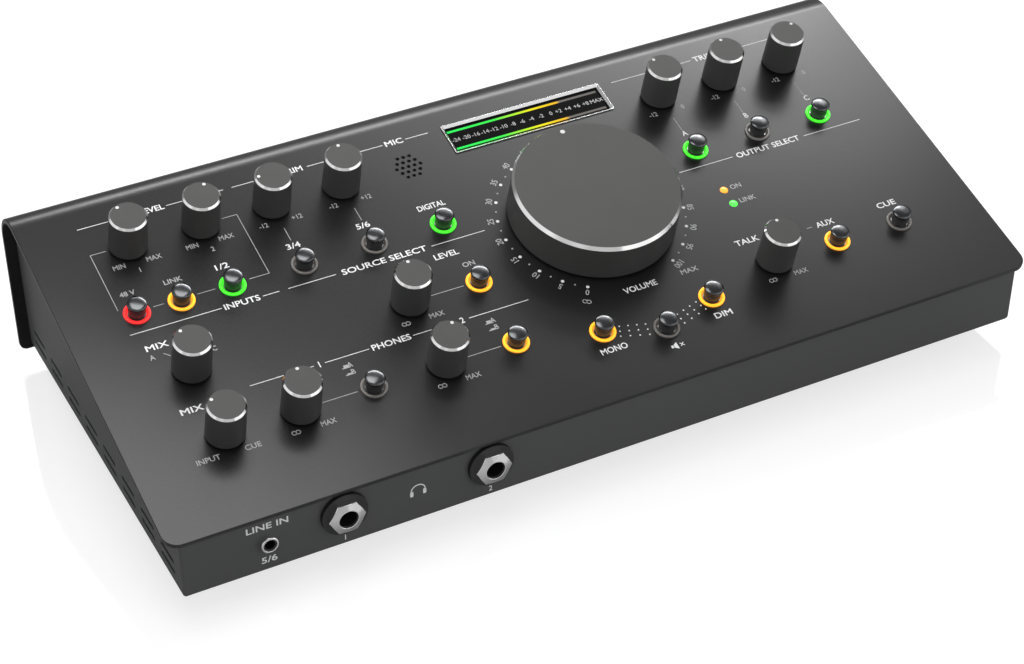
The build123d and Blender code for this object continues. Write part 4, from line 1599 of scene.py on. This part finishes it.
@dataclass
class Meter:
    """The level meter's window; its lit strips are part of its finish.

    Attributes:
        size: Width and height of the window.
        thick: Its thickness.
    """

    size: Pair = (63.1, 11.6)
    thick: float = 0.9

    def build(self) -> bpy.types.Object:
        """Make the window, a plain slab.

        Returns:
            The window.
        """
        mesh = Mesh()
        half = np.array(self.size) / 2
        outline = rectangle(*(METER_AT - half), *(METER_AT + half))
        slab(mesh, PANEL, outline, WINDOW_TOP - self.thick, WINDOW_TOP)
        return mesh.look("meter_window", [Finish.GLASS])


@dataclass
class Bezel:
    """The meter's frame: one rounded section carried round a rectangle.

    Attributes:
        size: Width and height outside.
        rim: Width of its face, and of the face with the slope inside it.
        proud: Its height above the panel.
        floor: Height of the slope's lower edge.
        foot: Height of its lower edge.
        wall: Inset of the part below the panel.
        corner: Radius of its outer corners.
        soft: Rounding of the face's outer and inner edge.
    """

    size: Pair = (65.4, 13.9)
    rim: Pair = (0.2, 1.12)
    proud: float = 0.45
    floor: float = -0.25
    foot: float = -1.7
    wall: float = 0.7
    corner: float = 0.6
    soft: Pair = (0.12, 0.1)

    def build(self) -> bpy.types.Object:
        """Sweep the section: each of its points is a rectangle, inset by its own amount.

        Returns:
            The frame.
        """
        face, inner = self.rim
        slope = rounded(
            [
                (0.0, 0.0),
                (0.0, self.proud, self.soft[0]),
                (face, self.proud, self.soft[1]),
                (inner, self.floor),
            ]
        )
        below = [[inner, self.foot], [self.wall, self.foot], [self.wall, 0.0], [0.0, 0.0]]
        half = np.array(self.size) / 2
        rows = []
        for inset, height in np.concatenate([slope, below]):
            outline = rectangle(*(inset - half), *(half - inset), max(self.corner - inset, 0.05))
            rows.append(np.column_stack([outline + METER_AT, np.full(len(outline), height)]))
        mesh = Mesh()
        mesh.grid(PANEL.place(np.array(rows)), 0, wrap=True)
        return mesh.look("meter_bezel", [Finish.BEZEL])


@dataclass
class Lamps:
    """Two small lamps beside the volume knob.

    Attributes:
        u: Their panel place, across.
        rows: Panel v of the green and the amber one.
        radius: Their radius.
        proud: Height of their tops.
        foot: Height of their lower ends.
        arc: Points on a dome's profile.
        steps: Points round the axis.
    """

    u: float = column(3)
    rows: Pair = (64.2, 71.2)
    radius: float = 1.5
    proud: float = 0.5
    foot: float = -10.0
    arc: int = 8
    steps: int = 32

    def build(self) -> bpy.types.Object:
        """Turn both domes: a cylinder that ends in a quarter of an ellipse.

        Returns:
            The lamps, as one piece.
        """
        turn = np.linspace(0, math.pi / 2, self.arc)
        cap = np.stack([self.radius * np.cos(turn), self.proud * np.sin(turn)], -1)
        cap[-1, 0] = 0.0
        profile = np.concatenate([[(0, self.foot), (self.radius, self.foot)], cap])
        mesh = Mesh()
        for index, v in enumerate(self.rows):
            turned(mesh, PANEL.at(self.u, v), profile, index, self.steps)
        return mesh.look("indicator_lamps", [Finish.LAMP_GREEN, Finish.LAMP_AMBER])


# ---------------------------------------------------------------- print


INK = 0.04          # thickness of the print
CAPITAL = 0.682     # height of a capital, as a share of the font's size


class Tone(Enum):
    """Strength of the print, as the material slot of its sheet."""

    BRIGHT = 0
    SOFT = 1


@dataclass(frozen=True)
class Word:
    """A printed word.

    Attributes:
        text: Its letters.
        x: Left end of its baseline, or its middle where width is 0.
        y: Baseline.
        width: Printed width; 0 keeps the letters' own proportions.
        height: Height of a capital.
        tone: Strength.
        turn: Turn in degrees, about its own middle.
    """

    text: str
    x: float
    y: float
    width: float = 0.0
    height: float = 2.0
    tone: Tone = Tone.SOFT
    turn: float = 0.0


def thicken(points: np.ndarray, normal: np.ndarray, vertex: np.ndarray, bold: float) -> np.ndarray:
    """Move the outline of upright letters outwards.

    A point moves by bold times (n1 + n2) / (1 + n1.n2), where n1 and n2 are the normals of
    the two sides that meet there, and at most by twice bold.

    Args:
        points: Array (n, 3).
        normal: Normal of the face, for every corner of every face.
        vertex: Index of the point, for every corner of every face.
        bold: How far a straight side moves.

    Returns:
        Array (n, 3).
    """
    side = np.abs(normal[:, 2]) < 0.5  # the walls of the letters, not their faces
    both = np.column_stack(
        [np.bincount(vertex[side], normal[side, axis], len(points)) for axis in range(2)]
    )
    shift = 2 * both / np.maximum((both**2).sum(axis=1, keepdims=True), 1e-9)
    reach = np.linalg.norm(shift, axis=1, keepdims=True)
    shift = bold * shift * np.minimum(1.0, 2.0 / np.maximum(reach, 1e-9))
    return points + np.column_stack([shift, np.zeros(len(points))])


def letters(text: str, bold: float) -> tuple[np.ndarray, np.ndarray]:
    """Shape a word with Blender's own font, and thicken its strokes.

    Args:
        text: The word.
        bold: Thickening of its strokes, as a share of the font's size.

    Returns:
        Its points, flat at z = 0 and 1, and its triangles.
    """
    curve = bpy.data.curves.new("letters", "FONT")
    curve.body, curve.size, curve.extrude, curve.resolution_u = text, 1.0, 0.5, 3
    holder = bpy.data.objects.new("letters", curve)
    shape = bpy.data.meshes.new_from_object(holder)
    work = bmesh.new()
    work.from_mesh(shape)
    bmesh.ops.remove_doubles(work, verts=work.verts, dist=1e-4)
    work.to_mesh(shape)
    work.free()
    shape.calc_loop_triangles()
    sizes = fetch(shape.polygons, "loop_total", kind=np.int32)
    normal = np.repeat(fetch(shape.polygons, "normal", 3), sizes, axis=0)
    vertex = fetch(shape.loops, "vertex_index", kind=np.int32)
    corners = fetch(shape.loop_triangles, "vertices", 3, np.int32)
    points = thicken(fetch(shape.vertices, "co", 3) + (0, 0, 0.5), normal, vertex, bold)
    bpy.data.objects.remove(holder)
    bpy.data.curves.remove(curve)
    bpy.data.meshes.remove(shape)
    return points, corners


@dataclass
class Print:
    """Everything printed on one flat face, as thin closed shapes.

    Attributes:
        name: Name of the piece.
        spot: The face's axes.
        lift: Height of the face above the spot.
        bold: Thickening of the strokes by tone, as a share of the font's size.
        spread: Width of the letters against their natural one.
        sign: Height of an endless sign; its circles' distance from its middle and their width.
        finishes: Ink by tone.
        mesh: What is printed so far.
    """

    name: str
    spot: Spot
    lift: float = 0.0
    bold: Pair = (0.014, 0.012)
    spread: float = 0.88
    sign: Triple = (1.5, 0.72, 0.3)
    finishes: tuple[Finish, Finish] = (Finish.WHITE_INK, Finish.GREY_INK)
    mesh: Mesh = field(default_factory=Mesh)

    def word(self, word: Word) -> None:
        """Add a word, scaled to its printed width and height.

        Args:
            word: The word.
        """
        points, corners = letters(word.text, self.bold[word.tone.value])
        low, high = points[:, 0].min(), points[:, 0].max()
        tall = word.height / CAPITAL
        wide = word.width / (high - low) if word.width else tall * self.spread
        start = 0.0 if word.width else (high - low) * wide / 2
        flat = np.column_stack([(points[:, 0] - low) * wide - start, points[:, 1] * tall])
        if word.turn:
            cos, sin = toward(word.turn)
            flat = (flat - (0, word.height / 2)) @ np.array([[cos, sin], [-sin, cos]])
        flat = flat + (word.x, word.y)
        solid = np.column_stack([flat, self.lift + points[:, 2] * INK])
        self.mesh.add(self.spot.place(solid), corners, word.tone.value)

    def path(
        self, points: list | np.ndarray, width: float, tone: Tone = Tone.BRIGHT, ring: bool = False
    ) -> None:
        """Add a stroke: a rectangle's section carried along a path.

        Args:
            points: The path.
            width: Its width.
            tone: Strength.
            ring: Whether the path closes on itself.
        """
        path = np.asarray(points, float)
        if ring:
            ahead = np.roll(path, -1, axis=0) - np.roll(path, 1, axis=0)
        else:
            ahead = np.gradient(path, axis=0)
        ahead = ahead / np.linalg.norm(ahead, axis=1, keepdims=True)
        side = np.column_stack([-ahead[:, 1], ahead[:, 0]]) * width / 2
        low, high = self.lift, self.lift + INK
        section = [(path - side, low), (path + side, low), (path + side, high), (path - side, high)]
        rows = np.stack(
            [np.column_stack([edge, np.full(len(path), height)]) for edge, height in section], axis=1
        )
        if ring:
            rows = np.concatenate([rows, rows[:1]])
        else:
            ends = rows.mean(axis=1, keepdims=True).repeat(4, axis=1)
            rows = np.concatenate([ends[:1], rows, ends[-1:]])
        self.mesh.grid(self.spot.place(rows), tone.value, wrap=True)

    def patch(self, outline: np.ndarray, tone: Tone = Tone.BRIGHT) -> None:
        """Add a filled convex shape."""
        slab(self.mesh, self.spot, outline, self.lift, self.lift + INK, tone.value)

    def endless(self, x: float, y: float, turn: float = 0.0) -> None:
        """Add an endless sign, two circles side by side.

        Args:
            x: Middle, across.
            y: Middle, up.
            turn: Turn in degrees.
        """
        tall, apart, stroke = self.sign
        for end in (-1, 1):
            middle = (x, y) + toward(turn) * end * apart
            self.path(circle(*middle, tall / 2, 20), stroke, Tone.SOFT, ring=True)

    def lay_out(self) -> None:
        """Add what this face shows."""
        raise NotImplementedError

    def build(self) -> bpy.types.Object:
        """Lay the print out.

        Returns:
            The print, as one piece.
        """
        self.lay_out()
        return self.mesh.piece(self.name, list(self.finishes), sharp=60.0)


# Long rules of the panel: the spans in u of those at each v.
RULES = {
    134.4: [(-145.0, -123.6), (-112.4, -91.0), (-87.8, -70.0), (-58.9, -29.2), (-20.1, -11.0)],
    134.0: [(65.0, 99.4), (111.0, 145.0)],
    84.5: [
        (-144.9, -112.1), (-97.1, -91.0), (-87.7, -69.9), (-33.4, -12.5), (66.9, 89.5), (120.3, 145.1),
    ],
    50.4: [(-116.2, -93.2), (-89.2, -72.9), (-56.5, -40.5), (-35.4, -12.5)],
}
# Thin lines between controls: both ends of each, as (u, v).
LINKS = [
    [(-139.3, 122.0), (-144.9, 122.0)], [(-144.9, 122.0), (-144.9, 95.8)],
    [(-133.3, 93.3), (-129.5, 93.3)], [(-117.4, 93.2), (-110.9, 93.2)],
    [(-98.4, 93.2), (-91.0, 93.2)], [(-91.0, 93.2), (-91.0, 122.0)],
    [(-91.0, 122.0), (-96.6, 122.0)], [(-78.1, 110.3), (-78.1, 104.3)],
    [(-51.2, 110.3), (-51.2, 104.2)], [(-43.2, 64.1), (-30.7, 64.1)],
    [(-96.6, 35.3), (-84.1, 35.3)], [(-43.3, 35.3), (-30.6, 35.3)],
    [(78.4, 109.8), (78.4, 102.9)], [(104.8, 109.8), (104.8, 102.9)],
    [(131.5, 109.9), (131.5, 102.9)], [(97.3, 44.0), (99.5, 44.0)],
    [(-137.5, 73.4), (-135.6, 71.6)],
]
# Words that name a group of controls. Their height and tone are set when they are printed.
HEADINGS = [
    Word("LEVEL", -122.4, 133.3, 9.2), Word("TRIM", -69.0, 133.3, 8.2), Word("MIC", -28.2, 133.3, 7.0),
    Word("TRIM", 100.6, 132.9, 8.8), Word("INPUTS", -111.2, 83.3, 13.0),
    Word("SOURCE SELECT", -67.6, 83.3, 32.2), Word("OUTPUT SELECT", 91.2, 83.3, 27.0),
    Word("PHONES", -71.9, 49.2, 14.4), Word("1", -91.2, 49.2), Word("2", -38.0, 49.2),
    Word("LEVEL", -34.8, 78.0, 9.2), Word("1/2", -107.4, 100.6, 4.9),
    Word("3/4", -80.9, 100.6, 5.1), Word("5/6", -54.4, 100.6, 5.1), Word("A", 78.5, 100.2),
    Word("B", 105.0, 100.2), Word("C", 131.7, 100.2), Word("MIX", -142.4, 75.9, 8.0),
    Word("MIX", -141.6, 47.0, 8.0), Word("VOLUME", 20.6, 40.4, 13.0), Word("MONO", 0.2, 19.1, 10.2),
    Word("DIM", 45.3, 19.1, 6.8), Word("TALK", 68.9, 45.6, 9.6), Word("AUX", 101.3, 42.9, 7.4),
    Word("CUE", 127.5, 42.9, 7.8), Word("DIGITAL", -30.6, 100.6, 10.6),
]
# Words and letters beside a single control.
LABELS = [
    Word("48 V", -142.0, 100.8, 5.4), Word("LINK", -126.2, 100.8, 6.6), Word("ON", 81.0, 70.5, 4.4),
    Word("LINK", 81.0, 63.6, 6.6), Word("A", -141.6, 72.0), Word("B", -121.6, 72.0),
    Word("C", -121.0, 68.4), Word("ON", -27.0, 71.6, 4.6), Word("INPUT", -144.4, 26.4, 8.2),
    Word("CUE", -127.6, 26.4, 5.6), Word("A", -81.8, 45.7), Word("B", -81.8, 42.6),
    Word("A", -28.2, 45.7), Word("B", -28.2, 42.6), Word("MAX", 43.8, 41.1, 6.8),
]
# Knobs of the rearmost row: column, marks at both ends of the turn, and number.
TRIMS = [
    (-5, "MIN", "MAX", "1"), (-4, "MIN", "MAX", "2"), (-3, "-12", "+12", ""), (-2, "-12", "+12", ""),
    (3, "-12", "0", ""), (4, "-12", "0", ""), (5, "-12", "0", ""),
]
# Level knobs: u of the knob and baseline of its marks.
LEVELS = [(-104.7, 26.3), (column(-2), 26.3), (column(-2), 54.9), (column(3), 26.3)]
# Fields of dots beside the muting key: ends of the upper row, then of the lower one.
DOT_FIELDS = [
    ((11.6, 28.4), (20.7, 26.0), (10.0, 24.3), (19.9, 21.4)),
    ((33.2, 25.8), (42.2, 28.4), (33.8, 21.5), (43.9, 24.3)),
]


@dataclass(frozen=True)
class VolumeScale:
    """The scale round the volume knob: 0 to 100, a dot for every 2.5 and a numeral for every 5.

    Attributes:
        start: Direction of 0, in degrees from u.
        pitch: Degrees from one dot to the next, clockwise.
        steps: Dots after the first.
        dots: Distance of the dots from the knob's middle.
        numerals: Distance of the numerals' baselines.
        sign: Distance of the endless sign under 0.
        sizes: Radius of a dot with a numeral, and of one without.
        height: Height of the numerals.
    """

    start: float = -120.0
    pitch: float = 7.5
    steps: int = 40
    dots: float = 34.27
    numerals: float = 36.8
    sign: float = 41.0
    sizes: Pair = (0.62, 0.34)
    height: float = 2.25

    def draw(self, sheet: Print) -> None:
        """Step round the knob: a place is its middle plus distance times (cos a, sin a).

        Args:
            sheet: Print that takes the scale.
        """
        for step in range(self.steps + 1):
            angle = self.start - self.pitch * step
            between = step % 2
            dot = VOLUME_AT + toward(angle) * self.dots
            sheet.patch(circle(*dot, self.sizes[between], 12), Tone(between))
            if not between:
                x, y = VOLUME_AT + toward(angle) * self.numerals
                sheet.word(Word(str(step * 5 // 2), x, y, turn=angle - 90, height=self.height))
        sheet.endless(*(VOLUME_AT + toward(self.start) * self.sign), self.start - 90)


@dataclass
class PanelPrint(Print):
    """The panel: rules, links, words, the marks of its controls and the volume scale.

    Attributes:
        name: Name of the piece.
        spot: The panel's axes.
        rule: Width of a rule.
        link: Width of a link between two controls.
        heading: Height of a heading's capitals.
        trim_marks: Places of a trim's low and high mark from its column, and their baseline.
        number_line: Baseline of the numbers under the first two knobs.
        level_marks: Places of a level's endless sign and MAX from its column.
        sign_rise: Middle of an endless sign above the baseline beside it.
        switch_signs: Middles of the two pairs of signs for a key that is up or down.
        switch_rows: Baseline of the sign for up and for down, each with its block's height.
        switch_bar: Half the width of a sign's bar, its height, and half the block's width.
        dot: Radius of a dot between the keys below the volume knob.
        mute_sign: Middle of the muted loudspeaker.
        speaker: Left, lower, right and upper side of its block, from that middle.
        horn: Corners of its horn, from that middle.
        cross: Left and right end of its cross, half the cross's height, and the strokes' width.
    """

    name: str = "panel_print"
    spot: Spot = PANEL
    rule: float = 0.23
    link: float = 0.24
    heading: float = 2.35
    trim_marks: Triple = (-6.2, 6.4, 112.7)
    number_line: float = 109.2
    level_marks: Pair = (-5.0, 6.6)
    sign_rise: float = 0.85
    switch_signs: Pair = (-83.3, -29.8)
    switch_rows: tuple[Pair, Pair] = ((45.6, 1.05), (42.6, 0.45))
    switch_bar: Triple = (1.55, 0.35, 0.85)
    dot: float = 0.3
    mute_sign: Pair = (26.8, 13.6)
    speaker: tuple[float, float, float, float] = (-2.6, -0.55, -1.7, 0.55)
    horn: tuple[Pair, ...] = ((-1.5, -0.6), (-0.1, -1.5), (-0.1, 1.5), (-1.5, 0.6))
    cross: tuple[float, float, float, float] = (0.9, 2.3, 0.7, 0.3)

    def lay_out(self) -> None:
        """Add the rules, links and words, then the marks of each kind of control."""
        for v, spans in RULES.items():
            for start, end in spans:
                self.path([(start, v), (end, v)], self.rule)
        for path in LINKS:
            self.path(path, self.link, Tone.SOFT)
        for word in HEADINGS:
            self.word(replace(word, height=self.heading, tone=Tone.BRIGHT))
        for word in LABELS:
            self.word(word)
        for trim in TRIMS:
            self.trim(*trim)
        for middle, base in LEVELS:
            self.endless(middle + self.level_marks[0], base + self.sign_rise)
            self.word(Word("MAX", middle + self.level_marks[1], base))
        for middle in self.switch_signs:
            self.switch(middle)
        VolumeScale().draw(self)
        for corners in DOT_FIELDS:
            self.dots(*np.array(corners))
        self.mute(*self.mute_sign)

    def trim(self, number: int, low: str, high: str, mark: str) -> None:
        """Add the marks of a knob in the rearmost row.

        Args:
            number: Its column.
            low: Mark at the lower end of its turn.
            high: Mark at the upper end.
            mark: Its number, if it has one.
        """
        middle = column(number)
        left, right, base = self.trim_marks
        self.word(Word(low, middle + left, base))
        self.word(Word(high, middle + right, base))
        if mark:
            self.word(Word(mark, middle, self.number_line))

    def switch(self, x: float) -> None:
        """Add the signs of a key that is up and of one that is down: a block on a bar each.

        Args:
            x: Their middle.
        """
        bar, thick, block = self.switch_bar
        for base, tall in self.switch_rows:
            top = base + thick
            self.patch(rectangle(x - bar, base, x + bar, top), Tone.SOFT)
            self.patch(rectangle(x - block, top, x + block, top + tall), Tone.SOFT)

    def dots(self, a: np.ndarray, b: np.ndarray, c: np.ndarray, d: np.ndarray) -> None:
        """Add three rows of four dots, spread evenly between the corners of a field.

        Args:
            a: First dot of the upper row.
            b: Its last dot.
            c: First dot of the lower row.
            d: Its last dot.
        """
        for row in (0.0, 0.5, 1.0):
            start, end = a + (c - a) * row, b + (d - b) * row
            for share in (0.0, 1 / 3, 2 / 3, 1.0):
                self.patch(circle(*(start + (end - start) * share), self.dot, 10))

    def mute(self, x: float, y: float) -> None:
        """Add a loudspeaker with a cross beside it: a block, a horn and two strokes.

        Args:
            x: Its middle, across.
            y: Its middle, up.
        """
        start, end, half, stroke = self.cross
        self.patch(rectangle(*self.speaker) + (x, y))
        self.patch(np.array(self.horn) + (x, y))
        for rise in (-half, half):
            self.path([(x + start, y - rise), (x + end, y + rise)], stroke)


@dataclass
class FrontPrint(Print):
    """The front wall: the jacks' numbers and names, and a pair of headphones.

    Attributes:
        name: Name of the piece.
        spot: The wall's axes.
        lift: Height of the wall, which stands back under the cover's edge.
        words: What is written.
        phones: Middle of the headphones' band.
        band: Radius and width of the band.
        cup: Distance of an ear cup from the middle, half its width, and its lower and upper end.
        soft: Radius of an ear cup's corners.
    """

    name: str = "front_print"
    spot: Spot = FRONT
    lift: float = -OVERHANG
    words: tuple[Word, ...] = (
        Word("5/6", -134.1, 5.0, 5.5, 2.4, Tone.BRIGHT),
        Word("1", -104.6, 3.5, 0.0, 2.1, Tone.BRIGHT),
        Word("2", -51.4, 3.5, 0.0, 2.1, Tone.BRIGHT),
        Word("LINE IN", -138.6, 19.2, 14.6, 2.4, Tone.BRIGHT),
    )
    phones: Pair = (-78.05, 13.9)
    band: Pair = (2.6, 0.42)
    cup: tuple[float, float, float, float] = (2.35, 0.6, -1.9, 0.3)
    soft: float = 0.4

    def lay_out(self) -> None:
        """Add the words, then the headphones: half a circle between two rounded blocks."""
        for word in self.words:
            self.word(word)
        angle = np.linspace(0, math.pi, 14)
        self.path(self.phones + self.band[0] * np.column_stack([np.cos(angle), np.sin(angle)]), self.band[1])
        x, y = self.phones
        reach, half, low, high = self.cup
        for side in (-1, 1):
            ear = x + side * reach
            self.patch(rectangle(ear - half, y + low, ear + half, y + high, self.soft))


@dataclass
class MeterPrint(Print):
    """The meter's scale, in decibels, between its strips.

    Attributes:
        name: Name of the piece.
        spot: The panel's axes.
        lift: Height of the window's face.
        bold: Thickening of the strokes, less than on the panel.
        spread: Width of the letters against their natural one.
        scale: Panel u of each mark.
        height: Height of the marks.
    """

    name: str = "meter_print"
    spot: Spot = PANEL
    lift: float = WINDOW_TOP
    bold: Pair = (0.006, 0.006)
    spread: float = 1.02
    scale: tuple[tuple[str, float], ...] = (
        ("-24", -2.3), ("-20", 1.8), ("-16", 5.6), ("-14", 9.4), ("-12", 13.1), ("-10", 17.0),
        ("-8", 20.9), ("-6", 24.7), ("-4", 28.5), ("-2", 32.5), ("0", 36.6), ("+2", 39.8),
        ("+4", 43.7), ("+6", 47.5), ("+8", 51.2), ("MAX", 55.9),
    )
    height: float = 1.7

    def lay_out(self) -> None:
        """Add the marks on the meter's middle line."""
        for text, u in self.scale:
            self.word(Word(text, u, METER_AT[1] - self.height / 2, height=self.height))


# ---------------------------------------------------------------- main


# CAD nodes that are shown as they are, by finish.
PLAIN = {
    Finish.CHASSIS: ["bottom_plate"],
    Finish.RUBBER: ["rubber_feet"],
    Finish.SCREW: ["case_screws"],
    Finish.BOARD: ["panel_board", "rear_board"],
    Finish.STEEL: ["board_posts", "volume_potentiometer", "microphone", "usb_socket"],
    Finish.SLEEVE: ["key_switches"],
    Finish.BLACK: ["potentiometers", "line_jacks", "aux_jack", "dc_inlet", "power_switch"],
    Finish.LAMP_AMBER: ["meter_strips"],
}


def main() -> None:
    """Build the console's looks in order, and report each piece."""
    logging.basicConfig(level=logging.INFO, format="%(message)s")
    for finish, nodes in PLAIN.items():
        for node in nodes:
            dress(node, finish)
            LOG.info("dressed %s", node)
    rings = [LightRings(light) for light in Light]
    prints = [PanelPrint(), FrontPrint(), MeterPrint()]
    for part in [*SHELLS, *KNOBS, *KEYS, *rings, Nuts(), Bezel(), Meter(), Lamps(), *prints]:
        LOG.info("built %s", part.build().name)
    Studio().build()


if __name__ == "__main__":
    main()
